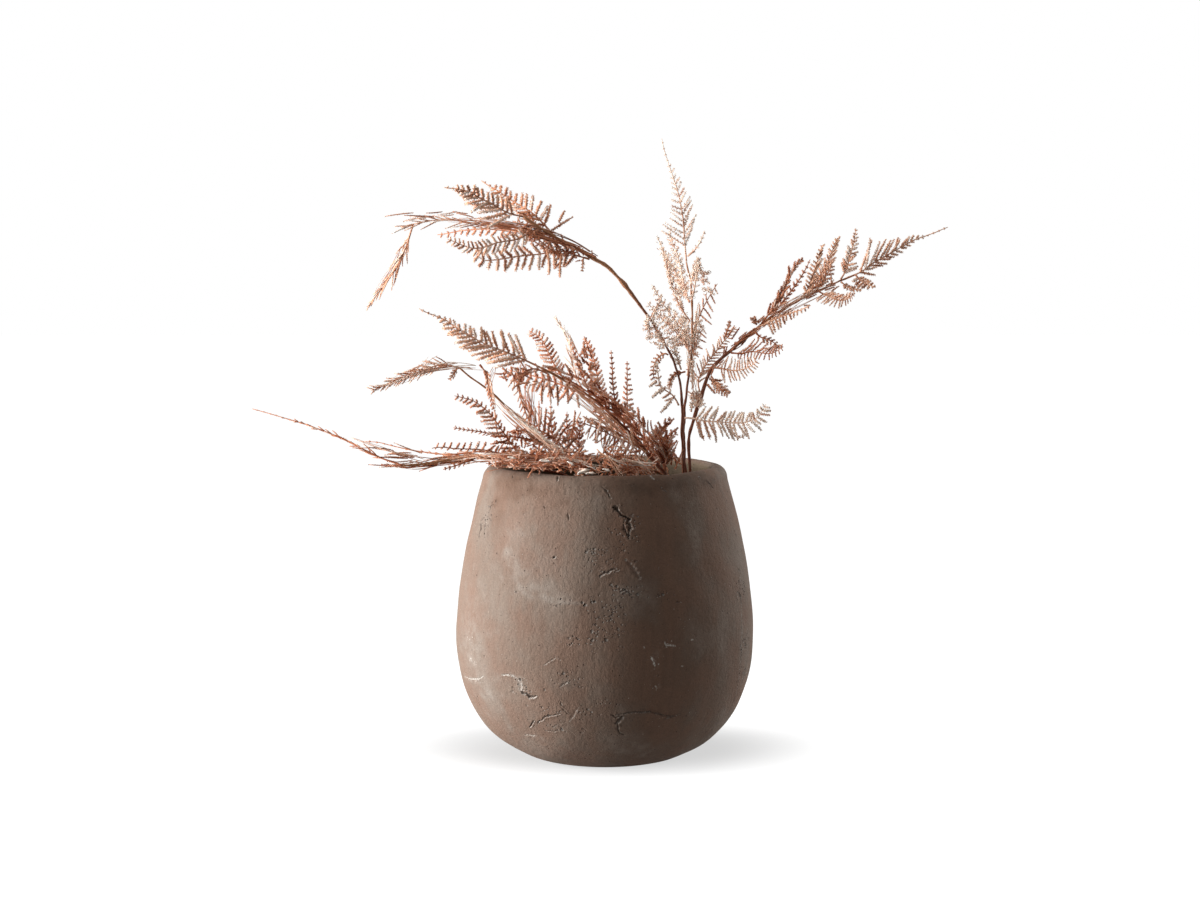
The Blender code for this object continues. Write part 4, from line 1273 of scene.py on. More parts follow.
class Stem(NamedTuple):
    """Stalk: its foot and end radius, and its route as front-view points (x, depth, z).

    The girths are how much thicker or thinner its bark is than that, at even steps along it. The knot is
    (share of the length, how much thicker its bark is there).
    """

    name: str
    foot_radius: float
    end_radius: float
    route: tuple[tuple[float, float, float], ...]
    girths: tuple[float, ...] = (1.0,)
    knot: tuple[float, float] = (0.0, 0.0)


class Leaf(NamedTuple):
    """Leaf: a rib with fingers in pairs, along front-view points (x, z).

    It grows from a stalk or another leaf, its finish is one of the foliage finishes, and its tip is the
    given depth behind (+) or in front of (-) its root. Left and right are the lengths of the first, middle
    and last finger on either side, and lean is their angle off the rib in degrees. The habit says how its
    fingers are clothed, and fill how many fingers stand here for each of the solid's. Layers are how many
    times it is laid over itself. The spike is the share of its length, at its tip, where the fingers are no
    more than stubs.
    """

    name: str
    grows_from: str
    finish: FoliageFinish
    pairs: int
    depth: float
    left: tuple[float, float, float]
    right: tuple[float, float, float]
    lean: tuple[float, float]
    route: tuple[tuple[float, float], ...]
    habit: Habit = Habit.BRUSH
    fill: float = 1.35
    layers: int = 1
    spike: float = 0.0


class Carrier(NamedTuple):
    """What leaves grow from: its axis, the radius along it, and whether it is a flat leaf."""

    path: Array
    radii: Array
    flat: bool


STEMS = (
    Stem("stem_upright", 2.3, 1.1, ((81, 6, 250), (80, 6, 290), (79, 6, 322), (79, 6, 349), (82, 7, 372),
        (86, 12, 412), (87, 15, 442), (85, 20, 481), (81, 24, 499)), (0.95, 0.85, 0.8, 0.8, 0.9)),
    Stem("stem_arching", 2.4, 1.4, ((77, -2, 250), (78, -3, 290), (77, -5, 327), (77, -7, 357),
        (72, -12, 390), (58, -22, 421), (35, -32, 456), (7, -42, 490), (-13, -48, 504), (-40, -56, 519),
        (-70, -66, 536), (-81, -70, 544)), (0.8, 0.7, 0.62, 0.62, 0.8, 0.92, 1.3, 1.15, 1.0), (0.667, 1.0)),
    Stem("stem_right", 2.4, 1.0, ((86, -2, 250), (85, -1, 290), (84, 0, 322), (88, 2, 340), (96, 7, 366),
        (106, 13, 392), (124, 20, 410), (151, 32, 433), (183, 46, 456), (224, 62, 476), (240, 70, 483)),
        (0.85, 0.85, 0.95, 1.15, 1.2, 1.35, 1.15, 1.0, 1.0)),
    Stem("stem_left", 2.4, 1.2, ((87, -14, 250), (60, -19, 287), (45, -21, 305), (31, -24, 322),
        (-5, -34, 357), (-35, -44, 378), (-64, -54, 394))),
    Stem("stem_left_thin", 1.8, 1.0, ((27, -22, 250), (-20, -36, 288), (-55, -48, 316), (-85, -60, 344),
        (-120, -76, 374), (-145, -86, 393))),
    Stem("stem_trailing", 1.8, 1.1, ((7, -30, 250), (-35, -40, 283), (-60, -46, 291), (-85, -54, 298),
        (-115, -62, 303), (-145, -72, 304), (-175, -86, 298), (-202, -98, 296))),
)

LEAVES = (
    Leaf("leaf_upright_tip", "stem_upright", PALE, 13, 6, (33, 12, 3), (31, 15, 4), (52, 35), ((81, 499),
        (79, 521), (78, 537), (76, 551), (72, 569), (64, 593), (58, 612), (56, 622)), Habit.SPARSE,
        spike=0.24),
    Leaf("leaf_upright_left", "stem_upright", PALE, 10, -22, (5, 4, 1), (11, 11, 2), (35, 28), ((85, 440),
        (76, 453), (69, 467), (63, 489), (56, 514), (51, 526)), Habit.CRUMPLED),
    Leaf("leaf_upright_mid", "stem_upright", PALE, 8, 26, (8, 8, 4), (8, 7, 3), (40, 40), ((85, 459),
        (79, 474), (75, 493), (72, 506), (67, 518), (63, 530)), Habit.CRUMPLED, layers=2),
    Leaf("leaf_upright_left_low", "stem_upright", PALE, 8, -34, (10, 9, 2), (12, 9, 2), (70, 45),
        ((86, 410), (77, 427), (70, 441), (62, 451), (55, 463), (46, 477)), Habit.CRUMPLED, layers=2),
    Leaf("leaf_upright_right", "stem_upright", COPPER, 8, 28, (14, 12, 3), (6, 16, 5), (30, 120),
        ((85, 397), (89, 417), (92, 439), (96, 450), (100, 458), (105, 467), (112, 478)), Habit.FINE, 1.3),
    Leaf("leaf_arching_curl", "stem_arching", COPPER, 6, 20, (4, 6, 5), (4, 5, 5), (60, 60), ((66, 408),
        (59, 408), (54, 405), (50, 399), (48, 391), (49, 382))),
    Leaf("leaf_arching_low_curl", "stem_arching", PALE, 6, -18, (16, 5, 4), (3, 4, 4), (75, 50), ((77, 357),
        (68, 366), (58, 373), (54, 378), (53, 387), (50, 400)), fill=1.1),
    Leaf("leaf_low_right", "stem_arching", PALE, 11, -40, (19, 13, 4), (20, 20, 5), (60, 66), ((79, 344),
        (85, 344), (97, 341), (111, 340), (124, 339), (138, 339), (151, 343), (156, 349), (161, 358)),
        fill=1.7),
    Leaf("leaf_arching_a", "stem_arching", COPPER_PAINTED_LIGHTER, 9, -44, (32, 20, 4), (14, 12, 4), (36, 52), ((-81, 544),
        (-94, 547), (-104, 552), (-114, 558), (-124, 562), (-134, 569), (-144, 571), (-160, 573)),
        Habit.PLUMP, 1.5, spike=0.14),
    Leaf("leaf_arching_b", "stem_arching", COPPER, 10, 30, (20, 14, 6), (22, 13, 5), (36, 64), ((-53, 525),
        (-65, 541), (-74, 549), (-84, 555), (-94, 561), (-104, 568), (-114, 574), (-123, 580)), Habit.PLUMP,
        1.3, spike=0.14),
    Leaf("leaf_arching_c", "stem_arching", COPPER_PAINTED_LIGHTER, 12, -28, (14, 22, 18), (10, 16, 14), (12, 12),
        ((-40, 519), (-75, 530), (-104, 535), (-134, 538), (-154, 541), (-174, 540), (-189, 537),
        (-204, 533)), Habit.SMOOTH, 1.5),
    Leaf("leaf_arching_c_hang", "leaf_arching_c", COPPER_PAINTED_LIGHTER, 11, 26, (20, 18, 3), (18, 16, 3), (13, 11),
        ((-190, 535), (-199, 511), (-208, 493), (-219, 477), (-228, 465), (-238, 451)), Habit.SMOOTH, 1.6),
    Leaf("leaf_arching_d", "stem_arching", RUST, 10, 80, (10, 9, 4), (5, 5, 2), (50, 40), ((-57, 528),
        (-79, 530), (-104, 531), (-124, 532), (-144, 530), (-154, 528), (-167, 526)), fill=1.4),
    Leaf("leaf_arching_e", "stem_arching", COPPER_PAINTED_LIGHTER, 10, -36, (13, 12, 5), (10, 9, 4), (50, 60), ((-65, 532),
        (-77, 527), (-86, 522), (-104, 519), (-114, 516), (-124, 513), (-134, 513), (-144, 517),
        (-157, 522)), fill=1.8),
    Leaf("leaf_arching_f", "stem_arching", COPPER_PAINTED_LIGHTER, 11, -26, (16, 16, 7), (12, 14, 6), (74, 55), ((-15, 503),
        (-30, 506), (-45, 510), (-65, 507), (-85, 505), (-104, 502), (-114, 501), (-124, 502), (-130, 509)),
        Habit.PLUMP, 1.4),
    Leaf("leaf_arching_rust", "stem_arching", RUST, 7, -24, (4, 4, 3), (5, 5, 4), (60, 60), ((-30, 512),
        (-45, 507), (-57, 514), (-70, 525), (-82, 538)), layers=2),
    Leaf("leaf_right_v", "stem_right", RUST, 9, -30, (24, 16, 4), (6, 8, 3), (38, 105), ((124, 410),
        (137, 408), (146, 410), (163, 408), (170, 410), (178, 415)), Habit.FINE, 1.5),
    Leaf("leaf_right_u", "stem_right", COPPER_PAINTED_LIGHTER, 9, -42, (14, 13, 6), (15, 11, 4), (66, 66), ((108, 395),
        (117, 393), (128, 391), (140, 393), (147, 397), (152, 401)), Habit.FINE, 1.4),
    Leaf("leaf_right_clump", "stem_right", COPPER, 6, -20, (10, 10, 4), (8, 6, 3), (45, 50), ((104, 386),
        (109, 381), (113, 374), (119, 369), (123, 366))),
    Leaf("leaf_right_up_left", "stem_right", COPPER_PAINTED_LIGHTER, 11, 30, (13, 10, 3), (12, 9, 3), (45, 50), ((97, 369),
        (93, 381), (98, 392), (103, 401), (109, 408), (119, 421), (131, 435)), Habit.FINE, 1.6),
    Leaf("leaf_right_dense", "stem_right", RUST, 10, -28, (14, 14, 6), (8, 8, 4), (20, 16), ((156, 437),
        (162, 446), (169, 455), (175, 465), (179, 473), (184, 485), (189, 495), (197, 501)), fill=1.5),
    Leaf("leaf_right_knobby", "stem_right", RUST, 8, 26, (6, 5, 1), (8, 5, 1), (50, 40), ((171, 448),
        (180, 464), (188, 474), (194, 483), (200, 493), (204, 502)), fill=1.3),
    Leaf("leaf_right_fan_a", "stem_right", COPPER_PAINTED_LIGHTER, 8, -26, (8, 6, 2), (13, 10, 4), (60, 20), ((195, 462),
        (202, 472), (206, 485), (211, 499), (214, 511), (217, 517)), fill=1.5),
    Leaf("leaf_right_fan_b", "stem_right", COPPER_PAINTED_LIGHTER, 9, 24, (8, 7, 3), (16, 13, 6), (45, 20), ((202, 465),
        (210, 476), (214, 486), (220, 497), (225, 508), (228, 516), (231, 523)), fill=1.5),
    Leaf("leaf_right_feather", "stem_right", COPPER_PAINTED_LIGHTER, 8, -20, (13, 7, 2), (14, 8, 2), (40, 45), ((234, 481),
        (240, 492), (243, 504), (246, 514), (248, 524), (249, 533)), fill=1.5),
    Leaf("leaf_right_x", "stem_right", COPPER_PAINTED_LIGHTER, 9, -30, (12, 12, 2), (12, 9, 2), (38, 115), ((212, 471),
        (223, 465), (234, 461), (242, 463), (249, 468)), Habit.FINE, 1.5),
    Leaf("leaf_right_under_a", "stem_right", COPPER_PAINTED_LIGHTER, 5, -14, (5, 4, 2), (5, 4, 2), (40, 40), ((234, 480),
        (242, 474), (249, 472), (255, 471)), Habit.PLUMP, 1.2),
    Leaf("leaf_right_y", "stem_right", COPPER_PAINTED_LIGHTER, 9, -36, (4, 3, 1), (15, 8, 2), (30, 108), ((155, 435),
        (169, 442), (181, 447), (193, 451), (205, 456)), fill=1.3),
    Leaf("leaf_right_tip", "stem_right", COPPER_PAINTED_LIGHTER, 12, 14, (37, 19, 2), (17, 10, 2), (34, 33), ((240, 483),
        (256, 490), (263, 496), (279, 505), (289, 511), (298, 516), (307, 521), (316, 524), (329, 529),
        (341, 534)), fill=1.4, spike=0.24),
    Leaf("leaf_right_under_b", "leaf_right_tip", COPPER_PAINTED_LIGHTER, 5, -18, (7, 6, 1), (7, 8, 1), (50, 110),
        ((249, 486), (255, 480), (262, 477), (269, 474)), Habit.PLUMP, 1.2),
    Leaf("leaf_left_tip", "stem_left", COPPER_PAINTED_LIGHTER, 12, -30, (33, 24, 3), (32, 16, 2), (39, 49), ((-64, 394),
        (-90, 406), (-118, 417), (-135, 426), (-149, 434), (-159, 442), (-171, 446), (-186, 453)),
        Habit.PLUMP, 1.7, spike=0.16),
    Leaf("leaf_left_m", "stem_left", RUST, 7, 28, (9, 11, 5), (10, 9, 4), (55, 65), ((-39, 380), (-45, 388),
        (-50, 396), (-55, 406), (-60, 416), (-65, 424), (-76, 431)), fill=1.85),
    Leaf("leaf_left_n", "stem_left", PALE, 8, 44, (16, 14, 6), (12, 12, 6), (14, 14), ((-21, 369),
        (-25, 377), (-31, 392), (-34, 405), (-35, 417), (-40, 429), (-45, 437), (-50, 445)), Habit.SMOOTH,
        1.2),
    Leaf("leaf_left_o", "stem_left", RUST, 8, 56, (11, 10, 3), (9, 8, 3), (40, 40), ((1, 351), (-3, 367),
        (-8, 387), (-12, 405), (-15, 415), (-21, 425)), fill=1.8),
    Leaf("leaf_left_p", "stem_left", RUST, 9, -26, (9, 5, 2), (9, 5, 2), (50, 50), ((17, 335), (11, 357),
        (8, 377), (7, 397), (6, 412)), fill=1.4),
    Leaf("leaf_left_q", "stem_left", RUST, 9, 34, (8, 6, 2), (9, 7, 2), (40, 72), ((29, 324), (24, 342),
        (22, 362), (22, 382), (22, 401)), fill=1.4),
    Leaf("leaf_left_k", "stem_left", RUST, 8, -40, (14, 12, 4), (9, 9, 3), (20, 40), ((-55, 389),
        (-71, 393), (-85, 385), (-86, 372), (-81, 353), (-74, 335)), Habit.FINE, 1.6),
    Leaf("leaf_left_r", "stem_left", RUST, 7, -44, (18, 17, 5), (10, 9, 3), (70, 40), ((37, 316), (19, 321),
        (5, 327), (-7, 333), (-24, 339)), Habit.FINE, 1.3),
    Leaf("leaf_left_under_a", "stem_left", RUST, 9, 26, (14, 18, 8), (5, 8, 4), (75, 50), ((-20, 365),
        (-35, 373), (-49, 379), (-65, 384), (-81, 388), (-97, 392)), Habit.PLUMP, 1.2),
    Leaf("leaf_crown_a", "stem_left", RUST, 7, -24, (20, 16, 3), (16, 13, 2), (32, 35), ((58, 289),
        (59, 303), (59, 318), (56, 331), (66, 344)), layers=3),
    Leaf("leaf_crown_b", "stem_left", RUST, 9, 24, (10, 12, 4), (12, 12, 4), (22, 24), ((54, 294),
        (43, 316), (29, 335), (15, 350), (1, 364), (-11, 376)), layers=2),
    Leaf("leaf_crown_e", "stem_left", RUST, 8, -64, (10, 13, 8), (5, 6, 3), (62, 40), ((59, 288), (43, 295),
        (25, 301), (7, 305), (-7, 307)), layers=2),
    Leaf("leaf_left_under_b", "stem_left_thin", RUST, 7, -24, (5, 6, 3), (24, 28, 14), (50, 72),
        ((-39, 303), (-44, 317), (-55, 326), (-67, 332), (-80, 337))),
    Leaf("leaf_crown_c", "stem_left_thin", RUST, 10, -50, (8, 10, 6), (8, 10, 5), (50, 50), ((-17, 286),
        (-27, 298), (-47, 303), (-69, 306), (-90, 306), (-105, 305)), fill=1.7),
    Leaf("leaf_left_thin_tip", "stem_left_thin", COPPER_PAINTED_LIGHTER, 9, -34, (16, 14, 6), (16, 15, 8), (26, 22),
        ((-145, 393), (-160, 397), (-175, 394), (-190, 388), (-205, 383), (-220, 376), (-234, 371)),
        Habit.SMOOTH, 2.3),
    Leaf("leaf_left_i", "stem_left_thin", RUST, 8, -30, (5, 5, 3), (4, 4, 3), (35, 35), ((-60, 321),
        (-85, 324), (-105, 326), (-125, 330), (-140, 332), (-152, 334)), Habit.FINE, 2.4),
    Leaf("leaf_left_bush", "stem_left_thin", RUST, 9, 24, (18, 15, 2), (10, 8, 2), (42, 42), ((-21, 289),
        (-25, 303), (-26, 318), (-25, 332), (-25, 345))),
    Leaf("leaf_crown_d", "stem_trailing", RUST, 10, -50, (5, 6, 3), (7, 7, 3), (40, 40), ((-25, 279),
        (-15, 291), (-45, 294), (-75, 295), (-100, 297), (-120, 298)), fill=1.7),
    Leaf("leaf_left_h", "stem_trailing", RUST, 10, -56, (20, 15, 4), (6, 6, 3), (50, 50), ((-75, 295),
        (-90, 313), (-98, 324), (-105, 334), (-115, 348), (-130, 360), (-142, 364), (-151, 366)), fill=1.9),
    Leaf("leaf_left_j", "stem_trailing", RUST, 10, -70, (5, 5, 2), (9, 9, 5), (35, 112), ((-60, 291),
        (-85, 303), (-105, 308), (-125, 312), (-155, 313), (-165, 315), (-174, 313)), fill=1.6),
    Leaf("leaf_trailing_tip", "stem_trailing", RUST, 13, 30, (14, 9, 3), (15, 10, 3), (11, 11),
        ((-202, 296), (-225, 304), (-245, 314), (-265, 324), (-285, 332), (-298, 337), (-315, 342),
        (-335, 348), (-353, 353)), Habit.SMOOTH, 1.5, spike=0.15),
    Leaf("leaf_trailing_thin", "stem_trailing", RUST, 12, 26, (6, 5, 2), (6, 5, 2), (14, 14), ((-85, 298),
        (-105, 306), (-125, 310), (-155, 307), (-185, 310), (-210, 315), (-225, 319), (-241, 320)),
        Habit.SMOOTH, 1.5),
)


def leaf_route(leaf: Leaf, carrier: Carrier) -> Array:
    """Points of a leaf's rib, with its root seated on the surface of what it grows from.

    The root is the point of the carrier's axis that the front view shows nearest to the leaf's first
    point. It is moved off the axis towards the leaf's next point, by the carrier's radius, the usual gap
    and what a slanting root reaches back. On a flat carrier, another leaf, it sits on the front or back.

    Args:
        leaf: the leaf.
        carrier: what it grows from.

    Returns:
        The points, one row each.
    """
    axis_steps = 600
    rib_root_width = 1.8
    knots = np.arange(len(carrier.path))
    fine = np.linspace(0.0, knots[-1], axis_steps)
    axis = np.column_stack([np.interp(fine, knots, column) for column in carrier.path.T])
    shown = front_view(axis)
    plan = np.asarray(leaf.route, float)
    nearest = int(np.argmin(np.hypot(shown[:, 0] - plan[0, 0], shown[:, 2] - plan[0, 1])))
    progress = path_lengths(plan)
    depth = axis[nearest, 1] + leaf.depth * progress / progress[-1]
    route = sight_line(np.column_stack((plan[:, 0], depth, plan[:, 1])))
    along = unit(axis[min(nearest + 1, axis_steps - 1)] - axis[max(nearest - 1, 0)])
    if nearest == axis_steps - 1:
        route[0] = axis[nearest] + along * 2 * GAP
        return route
    heading = unit(route[1] - axis[nearest])
    if carrier.flat:
        heading = np.array((0.0, math.copysign(1.0, leaf.depth), 0.0))
    towards = unit(heading - along * (heading @ along))
    overhang = 0.5 * rib_root_width * abs(heading @ along)
    reach = np.interp(fine[nearest], knots, carrier.radii) + GAP + overhang
    route[0] = axis[nearest] + towards * reach
    return route


def rib_stations(pairs: int) -> Array:
    """Where a rib's points lie along it: its root, and one before and after each pair of fingers."""
    return np.concatenate(((0.0,), np.linspace(0.10, 0.98, pairs + 1)))


def small_shades(chance: np.random.Generator, count: int) -> Array:
    """Shades of dry leaflets: two in three middling, a fifth pale and the rest dark."""
    kind = chance.choice(3, count, p=(0.66, 0.20, 0.14))
    middle = np.array((0.45, 0.92, 0.05))[kind]
    return np.clip(middle + chance.normal(0.0, 0.10, count), 0.0, 1.0)


@dataclass
class Stalks:
    """The fern's main stalks, round, knotted and a little crooked."""

    sides: int = 10
    step: float = 3.0
    solid_step: float = 30.0
    wobble: float = 0.35
    knot_swell: float = 0.35
    knot_reach: float = 4.0
    knot_length: float = 26.0
    fibre: float = 0.08
    fibre_length: float = 6.0
    wobble_length: float = 18.0
    thinning: float = 0.85
    finish: StalkFinish = StalkFinish()

    def build(self) -> dict[str, Carrier]:
        """Make every stalk.

        Returns:
            For each stalk what its leaves grow from: the same axis and radii as the part's solid.
        """
        carriers = {}
        material = self.finish.material()
        for number, stem in enumerate(STEMS):
            route = sight_line(stem.route)
            route[0, 2] = SOIL_TOP + GAP
            count = max(6, round(float(path_lengths(route)[-1]) / self.solid_step) + 1)
            path = smooth_path(route, np.linspace(0.0, 1.0, count))
            carriers[stem.name] = Carrier(path, np.linspace(stem.foot_radius, stem.end_radius, count), False)
            rings = max(8, int(path_lengths(path)[-1] / self.step))
            stations = np.linspace(0.0, 1.0, rings)
            fine = smooth_path(route, stations)
            radii = stem.foot_radius + (stem.end_radius - stem.foot_radius) * stations
            knots = np.clip(Ripple(self.knot_length, seed=50 + number)(fine), 0.0, None)
            fibre = self.fibre * Ripple(self.fibre_length, seed=60 + number)(fine)
            radii = radii * np.interp(stations, np.linspace(0.0, 1.0, len(stem.girths)), stem.girths)
            radii = radii * (self.thinning + self.knot_swell * 0.5 * knots + fibre)
            away = (stations - stem.knot[0]) * path_lengths(path)[-1] / self.knot_reach
            radii = radii * (1.0 + stem.knot[1] * np.exp(-away ** 2))
            sway = Ripple(self.wobble_length, seed=70 + number)(fine)
            shift = self.wobble * ease(stations, 0.0, 0.2) * sway
            _, side, _ = frames(fine)
            fine = fine + side * shift[:, None]
            shell = Shell()
            shell.add_tubes(fine[None], radii[None], self.sides, np.array((0.5,)))
            shell.piece(stem.name + "_bark", material, "stalk", (stem.name,))
        return carriers


@dataclass
class Foliage:
    """The fern's leaves: each a rib with fingers, and two rows of leaflets along every finger."""

    carriers: dict[str, Carrier]
    solid_rib_radii: tuple[float, float] = (1.1, 0.67)
    rib_radii: tuple[float, float] = (0.95, 0.36)
    rib_roughness: float = 0.15
    ring_step: float = 2.5
    finger_taper: tuple[float, ...] = (0.6, 1.0, 1.0, 0.98, 0.9, 0.55)
    thick_from: float = 16.0
    bare_rib: float = 0.55
    stub: float = 1.5
    reach: float = 0.994
    bend: float = 0.10
    length_jitter: float = 0.12
    lean_jitter: float = 0.12
    lift_jitter: float = 0.16
    leaflet_lean: float = 58.0
    step_jitter: float = 0.02
    blade_jitter: float = 0.16
    leaflet_jitter: float = 0.14
    roll_jitter: float = 0.35
    size_spread: tuple[float, float] = (0.85, 1.15)
    width_spread: tuple[float, float] = (0.7, 1.2)
    full_leaflets_from: float = 15.0
    rib_leaflets: float = 0.62
    tip_leaflet: tuple[float, float] = (1.6, 0.9)
    tip_overlap: float = 1.2
    thickness: float = 0.35
    scale_form: tuple[tuple[float, float], ...] = ((0.55, 1.25),)
    sunward: float = 0.55
    scatter: float = 0.35
    light_side: tuple[float, float, float] = (-0.62, -0.75, 0.22)
    turn_to_light: float = 0.65
    curl_scatter: float = 1.3
    curl_size: tuple[float, float] = (0.8, 1.9)
    curl_radius: float = 0.30
    curl_taper: tuple[float, ...] = (0.7, 1.0, 1.1, 1.1, 1.0, 0.6)
    layers: tuple[tuple[float, float, float], ...] = (
        (0.0, 1.0, 0.0), (11.0, 0.84, 0.10), (-10.0, 0.76, -0.12))

    def build(self) -> None:
        """Make every leaf, each after what it grows from."""
        for number, leaf in enumerate(LEAVES):
            self._leaf(leaf, number)

    def _leaf(self, leaf: Leaf, number: int) -> None:
        """Make one leaf and put it in its solid's place."""
        carrier = self.carriers[leaf.grows_from]
        route = leaf_route(leaf, carrier)
        path = smooth_path(route, np.append(rib_stations(leaf.pairs), self.reach))
        rib_radii = np.linspace(*self.solid_rib_radii, len(path) - 1)
        self.carriers[leaf.name] = Carrier(path[:-1], rib_radii, True)
        shell = Shell()
        for layer in range(leaf.layers):
            self.clothe(shell, self._swung(path, layer), leaf, 10 * number + layer)
        shell.piece(leaf.name + "_fine", leaf.finish.material(), leaf.finish.slot, (leaf.name,))

    def _swung(self, path: Array, layer: int) -> Array:
        """A rib's twin from the same root: turned in the front view by its angle, shrunk and set in depth."""
        turn, shrink, depth = self.layers[layer]
        away = path - path[0]
        c, s = math.cos(math.radians(turn)), math.sin(math.radians(turn))
        x, y, z = away.T
        turned = np.column_stack((c * x - s * z, y, s * x + c * z))
        turned[:, 1] += depth * path_lengths(path)
        return path[0] + turned * shrink

    def clothe(self, shell: Shell, path: Array, leaf: "Leaf | Sprig", seed: int) -> None:
        """Add a rib with its fingers and their leaflets.

        Finger number k starts in the middle of two neighbouring rib points, or between such places where
        the leaf has more fingers than its solid. Its direction is cos(lean) * rib direction +- sin(lean) *
        side, and its length is read off the three given ones. A point of a finger is
        root + direction * length * u + bend * length * (u^2 - u).

        Args:
            shell: what the shapes are added to.
            path: points of the rib.
            leaf: what grows on it.
            seed: sets what is irregular.
        """
        chance = np.random.default_rng(seed)
        rings = max(8, int(path_lengths(path)[-1] / self.ring_step))
        rib = smooth_path(path, np.linspace(0.0, 1.0, rings))
        rough = self.rib_roughness * Ripple(5.0, seed)(rib)
        rib_radii = np.linspace(*self.rib_radii, rings) * (1.0 + rough)
        shell.add_tubes(rib[None], rib_radii[None], 6, np.array((0.35,)))
        fingers = max(2, round(leaf.pairs * leaf.fill))
        share = (np.arange(fingers) + 0.5) / fingers
        row = 1.0 + share * leaf.pairs
        knots = np.arange(len(path))
        roots, tangents, sides = (np.column_stack([np.interp(row, knots, column) for column in table.T])
                                  for table in (path, *frames(path)[:2]))
        tangents, sides = unit(tangents), unit(sides)
        for sign, lengths, lean in ((-1.0, leaf.left, leaf.lean[0]), (1.0, leaf.right, leaf.lean[1])):
            angle = np.radians(lean) + chance.normal(0.0, self.lean_jitter, fingers)
            out = np.cos(angle)[:, None] * tangents + sign * np.sin(angle)[:, None] * sides
            lift = chance.normal(0.0, self.lift_jitter, fingers)
            out = unit(out + np.array((0.0, -1.0, 0.0)) * lift[:, None])
            full = 1.0 - leaf.spike
            length = np.maximum(three_point(lengths, np.minimum(share / full, 1.0)), self.stub)
            length = np.where(share < full, length, self.stub)
            length = length * (1.0 - np.abs(chance.normal(0.0, self.length_jitter, fingers)))
            self.fingers(shell, roots, out, length, leaf.habit, chance)
        bare = round(self.bare_rib * leaf.pairs)
        outer = path[bare:]
        reach = np.linalg.norm(np.diff(outer, axis=0), axis=1)
        self.fingers(shell, outer[:-1], unit(np.diff(outer, axis=0)), reach, leaf.habit, chance, ended=False)

    def fingers(self, shell: Shell, roots: Array, out: Array, length: Array, habit: Habit,
                chance: np.random.Generator, ended: bool = True) -> None:
        """Add fingers with leaflets in two rows along each. Short fingers are slighter.

        Args:
            shell: what the shapes are added to.
            roots: where each finger starts.
            out: its unit direction.
            length: its length.
            habit: how it is clothed.
            chance: sets what is irregular.
            ended: whether the fingers taper to their ends. Lengths of rib don't.
        """
        radius, spacing, leaflet_length, leaflet_width, droop, curls = habit.value
        count = len(roots)
        bend = chance.normal(0.0, self.bend, (count, 3)) + (0.0, 0.0, droop)
        u = np.linspace(0.0, 0.97, len(self.finger_taper))
        paths = (roots[:, None] + out[:, None] * (length[:, None] * u)[..., None]
                 + bend[:, None] * (length[:, None] * (u * u - u))[..., None])
        if ended:
            fullness = np.minimum(1.0, 0.5 + length / self.thick_from)[:, None]
            taper = radius * np.array(self.finger_taper) * fullness
            shell.add_tubes(paths, taper, 5, small_shades(chance, count))
        numbers = np.maximum(1, (length / spacing).astype(int))
        finger = np.repeat(np.arange(count), numbers)
        first = np.repeat(np.cumsum(numbers) - numbers, numbers)
        step = (np.arange(len(finger)) - first + 0.6) / numbers[finger]
        for sign in (-1.0, 1.0):
            v = step + chance.normal(0.0, self.step_jitter, len(step))
            v = np.clip(v, 0.0, 1.0 if ended else 0.90)
            reach = length[finger]
            spot = (roots[finger] + out[finger] * (reach * v)[:, None]
                    + bend[finger] * (reach * (v * v - v))[:, None])
            heading = unit(out[finger] + bend[finger] * (2.0 * v - 1.0)[:, None])
            level = np.cross(heading, (0.0, -1.0, 0.0))
            across = unit(level + chance.normal(0.0, self.blade_jitter, (len(v), 3)))
            across = unit(across - heading * np.sum(across * heading, axis=1, keepdims=True))
            angle = np.radians(self.leaflet_lean) + chance.normal(0.0, self.leaflet_jitter, len(v))
            along = np.cos(angle)[:, None] * heading + sign * np.sin(angle)[:, None] * across
            blade = np.cos(angle)[:, None] * across - sign * np.sin(angle)[:, None] * heading
            nod = chance.normal(0.0, self.scatter, len(v)) - self.sunward * along[:, 0]
            along = unit(along + nod[:, None] * (0.0, 1.0, 0.0))
            facing = unit(np.cross(self.light_side, along))
            facing = facing * np.sign(np.sum(facing * blade, axis=1, keepdims=True))
            blade = unit(blade * (1.0 - self.turn_to_light) + facing * self.turn_to_light)
            roll = chance.normal(0.0, self.roll_jitter, len(v))[:, None]
            blade = np.cos(roll) * blade + np.sin(roll) * np.cross(along, blade)
            taper = 1.0 - 0.40 * v ** 4 if ended else 0.95 - 0.6 * (finger + v) / count
            fullness = 0.45 + reach / self.full_leaflets_from if ended else self.rib_leaflets
            size = leaflet_length * np.minimum(1.0, fullness) * taper
            size = size * chance.uniform(*self.size_spread, len(v))
            width = leaflet_width * taper ** 0.5 * chance.uniform(*self.width_spread, len(v))
            sizes = np.column_stack((size, width, np.full(len(v), self.thickness)))
            shell.add_lobes(spot, unit(along), unit(blade), sizes, small_shades(chance, len(v)),
                            rings=self.scale_form)
        if not ended:
            return
        tips = roots + out * length[:, None]
        heading = unit(out + bend)
        blade = unit(np.cross(heading, (0.0, -1.0, 0.1)))
        sizes = np.tile((*self.tip_leaflet, self.thickness), (count, 1))
        shell.add_lobes(tips - heading * self.tip_overlap, heading, blade, sizes, small_shades(chance, count))
        if curls:
            self._curls(shell, paths, np.maximum(1, (length * curls).astype(int)), chance)

